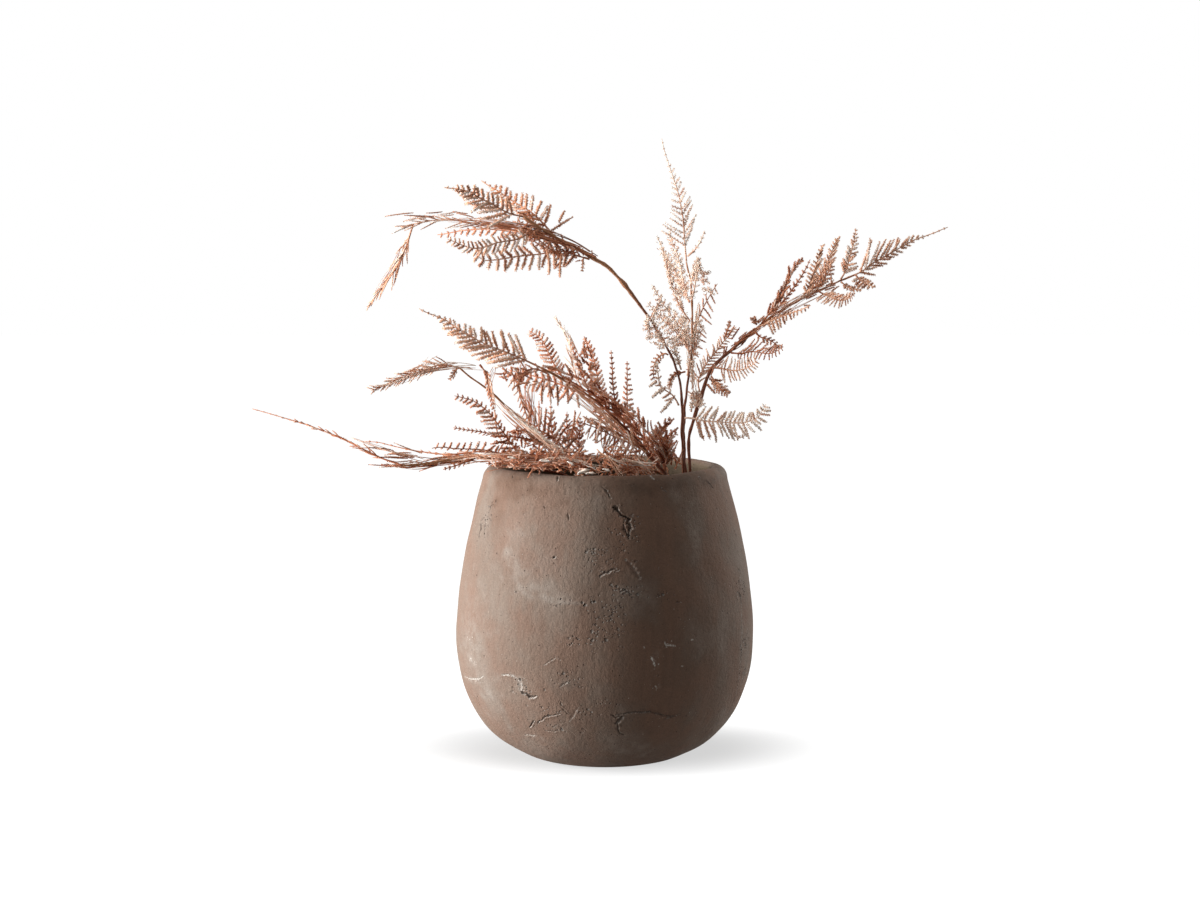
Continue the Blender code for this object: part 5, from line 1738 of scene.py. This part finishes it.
    def _curls(self, shell: Shell, paths: Array, numbers: Array, chance: np.random.Generator) -> None:
        """Add shrivelled leaflets about the fingers: thin arcs, centre + r * (cos(a) * e1 + sin(a) * e2)."""
        finger = np.repeat(np.arange(len(paths)), numbers)
        count = len(finger)
        near, far = paths[finger, 0], paths[finger, -1]
        centre = near + (far - near) * chance.uniform(0.0, 1.05, (count, 1))
        centre = centre + chance.normal(0.0, self.curl_scatter, (count, 3))
        lean = chance.normal(0.0, 0.5, (count, 2))
        e1 = unit(np.column_stack((np.ones(count), lean[:, 0], np.zeros(count))))
        e2 = unit(np.column_stack((np.zeros(count), lean[:, 1], np.ones(count))))
        angle = chance.uniform(0.0, 2 * math.pi, count)[:, None]
        angle = angle + np.linspace(0.0, 1.0, len(self.curl_taper)) * chance.uniform(1.6, 4.2, count)[:, None]
        r = chance.uniform(*self.curl_size, (count, 1, 1))
        angle = angle[..., None]
        arcs = centre[:, None] + r * (np.cos(angle) * e1[:, None] + np.sin(angle) * e2[:, None])
        radii = self.curl_radius * chance.uniform(0.7, 1.4, (count, 1)) * np.array(self.curl_taper)
        shell.add_tubes(arcs, radii, 4, small_shades(chance, count))


class Sprig(NamedTuple):
    """Small leaf or bare twig too fine for the part's solids, along front-view points (x, depth, z)."""

    finish: FoliageFinish
    pairs: int
    left: tuple[float, float, float]
    right: tuple[float, float, float]
    lean: tuple[float, float]
    route: tuple[tuple[float, float, float], ...]
    habit: Habit = Habit.BRUSH
    fill: float = 1.0
    spike: float = 0.0


class Sheaf(NamedTuple):
    """Thin strands side by side along front-view points (x, depth, z), spread to a given half width."""

    finish: FoliageFinish
    strands: int
    half_width: float
    radius: float
    route: tuple[tuple[float, float, float], ...]


class Thatch(NamedTuple):
    """Short leafy fingers lying over one another along front-view points (x, depth, z).

    They start anywhere within half_width of the route and point along it, give or take spread degrees.
    """

    finish: FoliageFinish
    count: int
    half_width: float
    length: float
    spread: float
    route: tuple[tuple[float, float, float], ...]
    habit: Habit = Habit.BRUSH


class Finger(NamedTuple):
    """One finger standing by itself, from its root (x, depth, z) to its tip (x, z) in the front view."""

    finish: FoliageFinish
    habit: Habit
    root: tuple[float, float, float]
    tip: tuple[float, float]


class Flake(NamedTuple):
    """Broad pale leaflet lying loose: its root (x, depth, z), length, width and bearing in degrees."""

    root: tuple[float, float, float]
    length: float
    width: float
    bearing: float


SPRIGS = (
    Sprig(COPPER, 3, (4, 5, 2), (4, 5, 2), (45, 45), ((151, 32, 437), (149, 30, 440), (147, 28, 444))),
    Sprig(RUST, 6, (4, 5, 2), (5, 6, 2), (50, 50), ((150, 36, 430), (154, 34, 425), (165, 30, 421),
        (175, 28, 414))),
    Sprig(COPPER, 4, (4, 4, 2), (4, 4, 2), (50, 50), ((119, 20, 423), (122, 16, 432), (124, 14, 441))),
    Sprig(PALE, 6, (5, 6, 2), (5, 6, 2), (45, 45), ((86, 15, 461), (89, 13, 473), (90, 11, 481),
        (91, 9, 491), (91, 8, 503)), Habit.SPARSE),
    Sprig(COPPER, 6, (4, 8, 3), (4, 9, 3), (45, 45), ((210, 58, 470), (216, 56, 480), (222, 54, 489),
        (226, 52, 496))),
    Sprig(PALE, 5, (4, 4, 2), (6, 8, 4), (60, 80), ((83, 0, 370), (89, -2, 366), (95, -4, 362),
        (99, -6, 356)), Habit.CRUMPLED),
    Sprig(RUST, 5, (4, 4, 2), (4, 4, 2), (45, 45), ((80, -4, 390), (73, -8, 388), (67, -12, 386),
        (64, -14, 375))),
    Sprig(PALE, 4, (3, 4, 2), (3, 4, 2), (45, 45), ((47, -32, 444), (54, -30, 458), (56, -28, 461))),
    Sprig(PALE, 4, (4, 4, 2), (4, 4, 2), (50, 50), ((124, -16, 339), (131, -20, 324), (140, -24, 326))),
    Sprig(RUST, 10, (5, 6, 3), (5, 6, 3), (30, 30), ((-125, -80, 397), (-118, -82, 387), (-116, -84, 372),
        (-113, -85, 362), (-111, -86, 352))),
    Sprig(COPPER, 4, (3, 4, 2), (3, 4, 2), (40, 40), ((-147, -92, 394), (-151, -94, 388),
        (-155, -95, 382))),
    Sprig(RUST, 6, (4, 4, 2), (4, 4, 2), (40, 40), ((-130, -78, 303), (-143, -84, 298), (-152, -88, 295),
        (-162, -92, 292))),
    Sprig(COPPER, 5, (6, 5, 2), (6, 5, 2), (50, 50), ((-30, -92, 291), (-25, -100, 283), (-15, -104, 280)),
        Habit.CRUMPLED),
    Sprig(PALE, 5, (3, 4, 2), (3, 4, 2), (35, 35), ((82, 20, 505), (89, 18, 511), (95, 16, 520),
        (99, 14, 530)), Habit.SPARSE),
    Sprig(COPPER, 3, (3, 3, 2), (3, 3, 2), (35, 35), ((-22, -58, 502), (-22, -58, 496), (-23, -58, 490)),
        Habit.SPARSE),
    Sprig(PALE, 6, (4, 5, 2), (5, 7, 3), (35, 45), ((85, 16, 476), (88, 10, 490), (93, 6, 504)),
        Habit.CRUMPLED),
    Sprig(PALE, 8, (6, 9, 4), (7, 9, 4), (40, 40), ((84, 0, 408), (81, -6, 426), (78, -10, 446)),
        Habit.CRUMPLED),
    Sprig(PALE, 8, (5, 8, 4), (6, 8, 4), (40, 40), ((82, 14, 386), (86, 18, 404), (92, 16, 424),
        (96, 14, 438)), Habit.CRUMPLED),
    Sprig(PALE, 7, (5, 6, 3), (5, 5, 3), (40, 40), ((76, -12, 392), (70, -16, 410), (66, -20, 424)),
        Habit.CRUMPLED),
    Sprig(PALE, 6, (4, 5, 3), (4, 5, 3), (40, 40), ((60, -22, 416), (53, -28, 430), (47, -32, 444)),
        Habit.CRUMPLED),
    Sprig(PALE, 5, (3, 3, 2), (3, 3, 2), (40, 40), ((88, 8, 374), (87, 6, 388), (88, 4, 402)), Habit.PLUMP),
    Sprig(PALE, 6, (3, 4, 3), (3, 4, 3), (50, 50), ((74, 4, 390), (67, 0, 384), (63, -4, 372)),
        Habit.CRUMPLED),
    Sprig(PALE, 6, (4, 5, 3), (5, 6, 3), (40, 40), ((86, 2, 350), (88, -2, 360), (93, -6, 370)),
        Habit.CRUMPLED),
    Sprig(PALE, 6, (3, 4, 2), (4, 4, 2), (40, 40), ((62, -16, 424), (55, -20, 422), (51, -24, 430)),
        Habit.CRUMPLED),
    Sprig(COPPER, 1, (2, 2, 2), (2, 2, 2), (40, 40), ((93, -30, 340), (97, -34, 330), (99, -36, 321)),
        Habit.PLUMP),
    Sprig(RUST, 9, (7, 7, 2), (7, 7, 2), (35, 35), ((-15, -30, 366), (-22, -20, 386), (-30, -12, 406),
        (-35, -6, 421))),
    Sprig(RUST, 8, (11, 9, 1), (11, 9, 1), (45, 45), ((-33, -38, 294), (-36, -30, 312), (-38, -24, 331),
        (-38, -20, 350))),
    Sprig(RUST, 8, (6, 8, 1), (7, 8, 1), (45, 45), ((-49, -44, 300), (-52, -40, 322), (-54, -36, 340),
        (-54, -34, 358))),
    Sprig(RUST, 1, (2, 2, 2), (2, 2, 2), (40, 40), ((-66, -46, 330), (-66, -44, 346), (-66, -42, 361))),
    Sprig(RUST, 1, (2, 2, 2), (2, 2, 2), (40, 40), ((-60, -42, 330), (-60, -40, 342), (-59, -38, 354))),
    Sprig(RUST, 1, (2, 2, 2), (2, 2, 2), (40, 40), ((-13, -30, 403), (-16, -26, 415), (-21, -24, 425))),
    Sprig(COPPER, 12, (1.5, 1.5, 1.5), (20, 26, 18), (60, 68), ((-18, -58, 340), (10, -52, 330),
        (44, -44, 308)), Habit.SMOOTH),
    Sprig(RUST, 9, (1.5, 1.5, 1.5), (26, 24, 16), (60, 84), ((-6, -50, 336), (16, -46, 326),
        (42, -40, 308)), Habit.FINE),
    Sprig(COPPER, 1, (2, 2, 2), (2, 2, 2), (40, 40), ((99, -28, 340), (104, -32, 332), (105, -34, 322)),
        Habit.PLUMP),
)

SHEAVES = (
    Sheaf(COPPER_PAINTED_LIGHTER, 9, 3, 0.30, ((-200, -108, 384), (-188, -106, 392), (-176, -104, 400), (-168, -102, 407))),
    Sheaf(RUST, 14, 7, 0.42, ((56, -22, 306), (35, -28, 332), (0, -40, 358), (-35, -50, 380),
        (-62, -56, 392))),
    Sheaf(COPPER, 18, 7, 0.38, ((40, -44, 304), (22, -48, 324), (-5, -54, 348), (-35, -60, 374),
        (-55, -64, 386))),
    Sheaf(COPPER_PAINTED_LIGHTER, 7, 6, 0.36, ((30, -50, 306), (12, -54, 328), (-12, -60, 350), (-38, -64, 376))),
    Sheaf(PALE, 20, 2.6, 0.42, ((-38, -82, 304), (-52, -84, 314), (-66, -84, 326), (-84, -80, 341),
        (-108, -76, 360))),
    Sheaf(PALE, 12, 2, 0.45, ((-38, -86, 304), (-46, -86, 310), (-54, -86, 317), (-64, -86, 325))),
    Sheaf(COPPER_PAINTED_LIGHTER, 14, 5, 0.41, ((-20, -46, 296), (-60, -58, 318), (-90, -66, 340), (-112, -74, 360))),
    Sheaf(RUST, 20, 9, 0.36, ((-70, -50, 330), (-74, -54, 355), (-80, -58, 380))),
    Sheaf(RUST, 26, 5, 0.34, ((-118, -84, 295), (-90, -92, 298), (-50, -98, 298), (-10, -100, 292))),
    Sheaf(COPPER_PAINTED_LIGHTER, 9, 4, 0.45, ((-8, -86, 312), (4, -92, 300), (16, -98, 288), (24, -98, 284))),
    Sheaf(RUST, 9, 4, 0.45, ((8, -82, 312), (20, -88, 300), (32, -92, 288), (38, -92, 284))),
    Sheaf(COPPER_PAINTED_LIGHTER, 8, 4, 0.45, ((22, -74, 310), (34, -80, 298), (46, -82, 288), (52, -80, 284))),
    Sheaf(RUST, 7, 5, 0.50, ((52, -50, 306), (44, -66, 298), (30, -86, 288), (16, -96, 285))),
    Sheaf(COPPER_PAINTED_LIGHTER, 22, 4.5, 0.34, ((-175, -74, 302), (-150, -76, 303), (-125, -82, 305), (-98, -90, 305))),
    Sheaf(RUST, 14, 5, 0.34, ((-130, -80, 304), (-90, -92, 304), (-40, -94, 302), (0, -90, 294))),
    Sheaf(PALE, 14, 2.5, 0.38, ((3, -98, 306), (16, -96, 301), (34, -88, 298), (51, -66, 294))),
    Sheaf(PALE, 8, 4, 0.34, ((-60, -98, 302), (-30, -100, 300), (-5, -102, 294), (12, -100, 290))),
    Sheaf(RUST, 16, 3.5, 0.40, ((-124, -68, 305), (-157, -72, 300), (-192, -84, 295), (-214, -92, 298),
        (-222, -96, 303))),
    Sheaf(COPPER_PAINTED_LIGHTER, 14, 6, 0.34, ((132, 24, 418), (160, 34, 440), (195, 46, 462), (232, 60, 480))),
    Sheaf(RUST, 10, 2.2, 0.45, ((122, 16, 408), (140, 24, 424), (158, 30, 438))),
    Sheaf(COPPER, 12, 6, 0.38, ((63, -8, 280), (52, -12, 300), (42, -16, 326), (36, -18, 336))),
    Sheaf(COPPER, 16, 3, 0.40, ((-4, -42, 502), (-38, -54, 520), (-75, -64, 532), (-110, -68, 538),
        (-150, -70, 541))),
    Sheaf(RUST, 14, 3.5, 0.40, ((-4, -44, 500), (-35, -56, 514), (-70, -66, 526), (-105, -70, 534),
        (-160, -74, 541))),
    Sheaf(COPPER_PAINTED_LIGHTER, 10, 3.5, 0.32, ((-192, -66, 532), (-202, -56, 508), (-216, -50, 484), (-234, -46, 456))),
    Sheaf(PALE, 16, 5, 0.30, ((-115, -80, 394), (-145, -92, 397), (-175, -104, 393), (-205, -112, 382),
        (-232, -118, 372))),
    Sheaf(COPPER_PAINTED_LIGHTER, 8, 2, 0.30, ((-110, -84, 396), (-114, -86, 380), (-112, -88, 362), (-108, -90, 348))),
    Sheaf(PALE, 12, 3, 0.34, ((84, 10, 400), (89, 14, 425), (93, 12, 446), (96, 10, 468))),
    Sheaf(PALE, 8, 3, 0.34, ((86, -8, 352), (88, -6, 372), (86, -4, 396), (84, 0, 420))),
    Sheaf(PALE, 6, 2, 0.34, ((-20, 30, 400), (-31, 24, 415), (-40, 20, 427), (-50, 16, 440))),
    Sheaf(COPPER_PAINTED_LIGHTER, 9, 2, 0.32, ((-170, -84, 300), (-196, -92, 306), (-225, -96, 314), (-262, -88, 324))),
)

THATCHES = (
    Thatch(RUST, 44, 8, 12, 26, ((60, -20, 300), (35, -26, 334), (4, -36, 362), (-30, -46, 384),
        (-58, -52, 396))),
    Thatch(COPPER, 26, 8, 12, 28, ((62, -14, 300), (35, -20, 334), (0, -32, 360), (-35, -44, 382))),
    Thatch(RUST, 36, 8, 11, 45, ((72, -18, 294), (54, -24, 318), (30, -30, 338)), Habit.FINE),
    Thatch(RUST, 40, 7, 9, 40, ((2, -26, 356), (-14, -28, 380), (-24, -30, 408)), Habit.BRUSH),
    Thatch(RUST, 44, 7, 9, 60, ((-52, -58, 378), (-76, -62, 384), (-102, -66, 388)), Habit.FINE),
    Thatch(COPPER_PAINTED_LIGHTER, 20, 7, 16, 12, ((40, -52, 300), (26, -56, 312), (4, -60, 330), (-12, -62, 342)),
        Habit.FINE),
    Thatch(RUST, 120, 6, 8, 50, ((-112, -90, 299), (-60, -98, 301), (0, -100, 296)), Habit.FINE),
    Thatch(RUST, 50, 6, 9, 35, ((-2, -84, 312), (16, -90, 298), (34, -84, 286)), Habit.FINE),
    Thatch(RUST, 30, 5, 9, 35, ((22, -66, 308), (40, -70, 296), (56, -62, 284)), Habit.FINE),
    Thatch(RUST, 60, 4.5, 7, 55, ((40, -84, 289), (0, -98, 292), (-50, -100, 295), (-74, -96, 296)),
        Habit.FINE),
    Thatch(RUST, 60, 9, 8, 60, ((-90, -64, 330), (-62, -62, 318), (-44, -66, 306)), Habit.FINE),
    Thatch(COPPER, 70, 5, 8, 50, ((-126, -80, 305), (-100, -88, 306), (-50, -90, 306), (0, -86, 301)),
        Habit.FINE),
    Thatch(RUST, 22, 4, 24, 7, ((-110, -80, 304), (-157, -72, 301), (-192, -84, 296), (-212, -90, 297)),
        Habit.SMOOTH),
    Thatch(COPPER, 9, 4, 26, 8, ((-178, -80, 304), (-196, -88, 305), (-212, -92, 309)), Habit.SMOOTH),
    Thatch(RUST, 66, 12, 9, 60, ((-110, -60, 316), (-60, -50, 322), (-30, -46, 318)), Habit.FINE),
    Thatch(COPPER, 26, 7, 12, 18, ((150, 30, 432), (165, 36, 444), (195, 46, 462), (225, 58, 477)),
        Habit.FINE),
    Thatch(RUST, 14, 4, 10, 24, ((100, 6, 384), (125, 20, 412), (150, 30, 432)), Habit.FINE),
    Thatch(COPPER, 10, 4, 26, 7, ((-120, -64, 545), (-150, -68, 548), (-190, -74, 545)), Habit.SMOOTH),
    Thatch(RUST, 40, 5, 8, 35, ((-10, -50, 498), (-30, -54, 508), (-52, -58, 518), (-72, -62, 530)),
        Habit.FINE),
    Thatch(RUST, 30, 8, 10, 50, ((-52, -50, 520), (-75, -56, 536), (-100, -58, 545)), Habit.FINE),
    Thatch(PALE, 14, 9, 9, 60, ((82, -14, 420), (80, -16, 440), (77, -16, 456), (75, -12, 484)),
        Habit.CRUMPLED),
    Thatch(PALE, 16, 4, 9, 50, ((60, -26, 412), (48, -30, 428), (44, -32, 440)), Habit.CRUMPLED),
    Thatch(PALE, 14, 4, 10, 30, ((90, 2, 498), (96, 0, 486), (98, -2, 474)), Habit.CRUMPLED),
)

FINGERS = (
    Finger(RUST, Habit.BRUSH, (56, -34, 330), (69, 343)),
    Finger(RUST, Habit.BRUSH, (60, -30, 322), (73, 334)),
    Finger(RUST, Habit.FINE, (62, -28, 300), (66, 326)),
    Finger(RUST, Habit.FINE, (66, -26, 296), (73, 320)),
    Finger(RUST, Habit.FINE, (70, -24, 292), (78, 312)),
    Finger(RUST, Habit.FINE, (60, -28, 296), (62, 318)),
    Finger(COPPER, Habit.BRUSH, (-54, -58, 530), (-32, 544)),
    Finger(COPPER, Habit.BRUSH, (-46, -60, 538), (-40, 550)),
    Finger(COPPER, Habit.PLUMP, (-43, -64, 508), (-45, 484)),
    Finger(COPPER, Habit.PLUMP, (-58, -66, 512), (-56, 487)),
    Finger(RUST, Habit.BRUSH, (-45, -62, 498), (-51, 493)),
    Finger(COPPER, Habit.BRUSH, (-62, -64, 376), (-63, 358)),
    Finger(RUST, Habit.BRUSH, (-56, -60, 380), (-54, 358)),
    Finger(COPPER, Habit.BRUSH, (-48, -58, 378), (-47, 356)),
    Finger(RUST, Habit.BRUSH, (-38, -56, 376), (-37, 358)),
    Finger(COPPER, Habit.BRUSH, (-28, -54, 368), (-26, 354)),
    Finger(RUST, Habit.FINE, (119, 10, 424), (125, 439)),
    Finger(RUST, Habit.FINE, (126, 12, 422), (134, 434)),
    Finger(RUST, Habit.FINE, (122, 8, 424), (129, 436)),
    Finger(COPPER, Habit.SMOOTH, (45, -30, 443), (54, 459)),
    Finger(COPPER, Habit.BRUSH, (101, 8, 378), (110, 368)),
    Finger(COPPER, Habit.BRUSH, (104, 10, 384), (112, 376)),
    Finger(RUST, Habit.BRUSH, (-9, -70, 318), (-4, 341)),
    Finger(RUST, Habit.BRUSH, (-34, -66, 322), (-30, 351)),
    Finger(COPPER_PAINTED_LIGHTER, Habit.SMOOTH, (-24, -60, 350), (-32, 330)),
    Finger(COPPER_PAINTED_LIGHTER, Habit.SMOOTH, (-18, -60, 346), (-24, 326)),
    Finger(COPPER_PAINTED_LIGHTER, Habit.SMOOTH, (-12, -60, 342), (-18, 322)),
    Finger(COPPER, Habit.FINE, (-110, -76, 352), (-107, 326)),
    Finger(PALE, Habit.PLUMP, (67, -30, 363), (56, 349)),
    Finger(PALE, Habit.PLUMP, (58, -32, 374), (47, 364)),
    Finger(PALE, Habit.PLUMP, (52, -34, 381), (44, 375)),
)

FLAKES = (
    Flake((-53, -104, 300), 13, 3.4, 172),
    Flake((-14, -106, 293), 15, 5, 200),
    Flake((-8, -105, 288), 12, 3.6, 178),
    Flake((-30, -104, 296), 9, 2.6, 150),
    Flake((6, -104, 290), 9, 3, 160),
    Flake((-88, -98, 303), 10, 2.6, 168),
)


@dataclass
class Tangle:
    """Sprigs, sheaves of loose strands and thatch of short fingers among the leaves."""

    foliage: Foliage
    rings: int = 22
    wobble: float = 1.6
    sway_rate: float = 7.0
    drift_rate: float = 3.0
    starts: tuple[float, float] = (0.0, 0.45)
    ends: tuple[float, float] = (0.55, 1.0)
    strand_taper: tuple[float, float] = (1.15, 0.6)
    flatness: float = 0.7
    thatch_lengths: tuple[float, float] = (0.55, 1.25)
    flake_tilt: float = 0.35
    flake_thickness: float = 0.5
    flake_tone: float = 0.75

    def build(self) -> None:
        """Make the sprigs, strands and thatch of each finish as a piece each, then what lies singly."""
        for finish in (RUST, COPPER, COPPER_PAINTED_LIGHTER, PALE):
            for kind, rows, add, seed in (("sprigs", SPRIGS, self._sprig, 300),
                                          ("strands", SHEAVES, self._sheaf, 400),
                                          ("thatch", THATCHES, self._thatch, 500)):
                shell = Shell()
                for number, row in enumerate(rows):
                    if row.finish is finish:
                        add(shell, row, seed + number)
                if shell.count:
                    shell.piece(f"{kind}_{finish.name}", finish.material(), finish.slot)
        self._single_fingers()
        self._flakes()

    def _sprig(self, shell: Shell, sprig: Sprig, seed: int) -> None:
        """Add one sprig, clothed like a leaf."""
        stations = np.append(rib_stations(sprig.pairs), 1.0)
        self.foliage.clothe(shell, smooth_path(sight_line(sprig.route), stations), sprig, seed)

    def _single_fingers(self) -> None:
        """Make the fingers that stand by themselves, as one piece for each finish."""
        for number, finish in enumerate((RUST, COPPER, COPPER_PAINTED_LIGHTER, PALE)):
            shell = Shell()
            chance = np.random.default_rng(600 + number)
            for habit in Habit:
                own = [finger for finger in FINGERS if finger.finish is finish and finger.habit is habit]
                if own:
                    roots = sight_line([finger.root for finger in own])
                    tips = sight_line([(finger.tip[0], finger.root[1], finger.tip[1]) for finger in own])
                    length = np.linalg.norm(tips - roots, axis=1)
                    self.foliage.fingers(shell, roots, unit(tips - roots), length, habit, chance)
            shell.piece("fingers_" + finish.name, finish.material(), finish.slot)

    def _flakes(self) -> None:
        """Make the broad leaflets that lie loose over the rim."""
        shell = Shell()
        roots = sight_line(np.array([flake.root for flake in FLAKES]))
        bearing = np.radians([flake.bearing for flake in FLAKES])
        level = np.zeros(len(FLAKES))
        along = np.column_stack((np.cos(bearing), level, np.sin(bearing)))
        across = unit(np.column_stack((-np.sin(bearing), level + self.flake_tilt, np.cos(bearing))))
        sizes = np.array([(flake.length, flake.width, self.flake_thickness) for flake in FLAKES])
        shell.add_lobes(roots, along, across, sizes, np.full(len(FLAKES), self.flake_tone))
        shell.piece("loose_leaflets", PALE.material(), PALE.slot)

    def _thatch(self, shell: Shell, layer: Thatch, seed: int) -> None:
        """Add one layer of thatch: fingers along cos(turn) * route direction + sin(turn) * side."""
        chance = np.random.default_rng(seed)
        fine = smooth_path(sight_line(layer.route), np.linspace(0.0, 1.0, FINE_STEPS))
        tangent, side, front = frames(fine)
        index = chance.integers(0, FINE_STEPS, layer.count)
        offset = chance.uniform(-1.0, 1.0, (layer.count, 2)) * layer.half_width
        roots = fine[index] + side[index] * offset[:, :1] + front[index] * offset[:, 1:] * self.flatness
        turn = np.radians(chance.normal(0.0, layer.spread, (layer.count, 2)))
        out = np.cos(turn[:, :1]) * tangent[index] + np.sin(turn[:, :1]) * side[index]
        out = unit(out + 0.4 * np.sin(turn[:, 1:]) * front[index])
        length = layer.length * chance.uniform(*self.thatch_lengths, layer.count)
        self.foliage.fingers(shell, roots, out, length, layer.habit, chance)

    def _sheaf(self, shell: Shell, sheaf: Sheaf, seed: int) -> None:
        """Add one sheaf: strand k runs beside the route at its own offset, over its own stretch of it."""
        chance = np.random.default_rng(seed)
        count = sheaf.strands
        fine = smooth_path(sight_line(sheaf.route), np.linspace(0.0, 1.0, FINE_STEPS))
        _, side, front = frames(fine)
        start = chance.uniform(*self.starts, count)
        end = chance.uniform(*self.ends, count)
        s = start[:, None] + (end - start)[:, None] * np.linspace(0.0, 1.0, self.rings)
        index = np.clip((s * (FINE_STEPS - 1)).astype(int), 0, FINE_STEPS - 1)
        offset = chance.uniform(-1.0, 1.0, (count, 2)) * sheaf.half_width
        phase = chance.uniform(0.0, 2 * math.pi, (count, 2))
        sway = self.wobble * np.sin(self.sway_rate * s[..., None] + phase[:, None])
        drift = 0.75 + 0.25 * np.cos(self.drift_rate * s[..., None] + phase[:, None])
        across = offset[:, None] * drift + sway
        paths = fine[index] + side[index] * across[..., :1] + front[index] * across[..., 1:] * self.flatness
        taper = np.linspace(*self.strand_taper, self.rings)
        radii = sheaf.radius * taper * chance.uniform(0.7, 1.4, count)[:, None]
        shell.add_tubes(paths, radii, 5, small_shades(chance, count))


# ---- Studio ----------------------------------------------------------------


@dataclass(frozen=True)
class Lamp:
    """Rectangular lamp: its place, width and height in metres, and its power in watts."""

    name: str
    place: tuple[float, float, float]
    width: float
    height: float
    power: float


@dataclass
class Studio:
    """Pale floor with a painted shadow round the pot, white surroundings, a broad low light from the left and
    the camera.
    """

    camera_place: tuple[float, float, float] = (-0.005, -3.0, 0.585)
    camera_aim: tuple[float, float, float] = (-0.005, 0.0, 0.309)
    lens: float = 90.39
    sensor: float = 36.0
    floor_half_width: float = 8.0
    # The floor's glow in the middle of the painted shadow round the pot, where that shadow fades out, and
    # where it sits.
    floor_glow: float = 0.60
    painted_shadow_reach: tuple[float, float] = (0.08, 0.205)
    floor_shade: tuple[float, float] = (0.065, 0.75)
    floor_colour: Colour = (0.48, 0.48, 0.48, 1.0)
    shadow_colour: Colour = (0.25, 0.25, 0.25, 1.0)
    ambient: float = 0.11
    lamp_aim: tuple[float, float, float] = (0.0, 0.0, 0.25)
    lamps: tuple[Lamp, ...] = (
        Lamp("key", (-2.1, -0.30, 0.40), 1.1, 0.8, 90.0),
        Lamp("rim", (1.75, 1.0, 0.5), 0.8, 0.9, 19.0),
        Lamp("top", (-0.2, -0.3, 1.9), 1.8, 1.8, 16.0),
    )

    def build(self) -> None:
        """Set up the camera, the floor, the surroundings and the lamps."""
        scene = bpy.context.scene
        scene.view_settings.view_transform = "Standard"
        camera = bpy.data.cameras.new("camera")
        camera.lens = self.lens
        camera.sensor_width = self.sensor
        viewer = self._stand("camera", camera, self.camera_place, self.camera_aim)
        scene.camera = viewer
        self._floor()
        self._surroundings()
        for lamp in self.lamps:
            self._light(lamp)

    def _stand(self, name: str, data: Any, place_at: tuple[float, float, float],
               aim: tuple[float, float, float]) -> bpy.types.Object:
        """Put a camera or a lamp at a place, turned to look at its aim."""
        stood = bpy.data.objects.new(name, data)
        stood.location = place_at
        heading = Vector(aim) - Vector(place_at)
        stood.rotation_euler = heading.to_track_quat("-Z", "Y").to_euler()
        bpy.context.scene.collection.objects.link(stood)
        return stood

    def _light(self, lamp: Lamp) -> None:
        """Hang a lamp, aimed at the plant."""
        light = bpy.data.lights.new(lamp.name, "AREA")
        light.shape = "RECTANGLE"
        light.size = lamp.width
        light.size_y = lamp.height
        light.energy = lamp.power
        self._stand(lamp.name, light, lamp.place, self.lamp_aim)

    def _floor(self) -> None:
        """Level floor: a diffuse pale sheet that glows for the camera, so that only shadows show; it glows
        less in an oval round the pot, a little behind it, as a painted shadow.
        """
        half = self.floor_half_width
        mesh = bpy.data.meshes.new("floor")
        corners = [(-half, -half, 0.0), (half, -half, 0.0), (half, half, 0.0), (-half, half, 0.0)]
        mesh.from_pydata(corners, [], [(0, 1, 2, 3)])
        floor = bpy.data.objects.new("floor", mesh)
        bpy.context.scene.collection.objects.link(floor)
        board = Nodes(bpy.data.materials.new("pale_floor"))
        board.tree.nodes.clear()
        matt = board.node("BsdfDiffuse", None, {"Color": self.floor_colour})
        shown = board.node("BsdfDiffuse", None, {"Color": self.shadow_colour})
        place = board.node("TexCoord").outputs["Object"]
        # Painted shadow: the floor glows less in an oval round the pot, set a little behind it.
        behind, squeeze = self.floor_shade
        inputs = {"Vector": place, "Location": (0.0, -behind, 0.0), "Scale": (squeeze, 1.0, 1.0)}
        spot = board.node("Mapping", None, inputs).outputs[0]
        away = board.node("VectorMath", {"operation": "LENGTH"}, {0: spot}).outputs["Value"]
        near, far = self.painted_shadow_reach
        inputs = {"Value": away, "From Min": near, "From Max": far, "To Min": self.floor_glow, "To Max": 1.0}
        glow_with_painted_shadow = board.node("MapRange", {"interpolation_type": "SMOOTHSTEP"}, inputs).outputs["Result"]
        glow = board.node("Emission", None, {"Strength": glow_with_painted_shadow})
        both = board.node("AddShader", None, {0: shown.outputs[0], 1: glow.outputs[0]})
        pick = board.node("MixShader", None, {0: board.looked_at(), 1: matt.outputs[0], 2: both.outputs[0]})
        board.node("OutputMaterial", None, {"Surface": pick.outputs[0]})
        mesh.materials.append(board.owner)

    def _surroundings(self) -> None:
        """White where the camera and glossy surfaces look, and a low even light everywhere else."""
        world = bpy.data.worlds.new("surroundings")
        bpy.context.scene.world = world
        board = Nodes(world)
        board.tree.nodes.clear()
        white, dim = (board.node("Background", None, {"Color": (1.0, 1.0, 1.0, 1.0), "Strength": strength})
                      for strength in (1.0, self.ambient))
        pick = board.node("MixShader", None, {0: board.looked_at(), 1: dim.outputs[0], 2: white.outputs[0]})
        board.node("OutputWorld", None, {"Surface": pick.outputs[0]})


def main() -> None:
    """Build the pot, the soil and the fern, then the studio."""
    logging.basicConfig(level=logging.INFO, format="%(message)s")
    pot = ClayPot()
    pot.build()
    SoilFill(pot).build()
    foliage = Foliage(Stalks().build())
    foliage.build()
    Tangle(foliage).build()
    Studio().build()


if __name__ == "__main__":
    main()
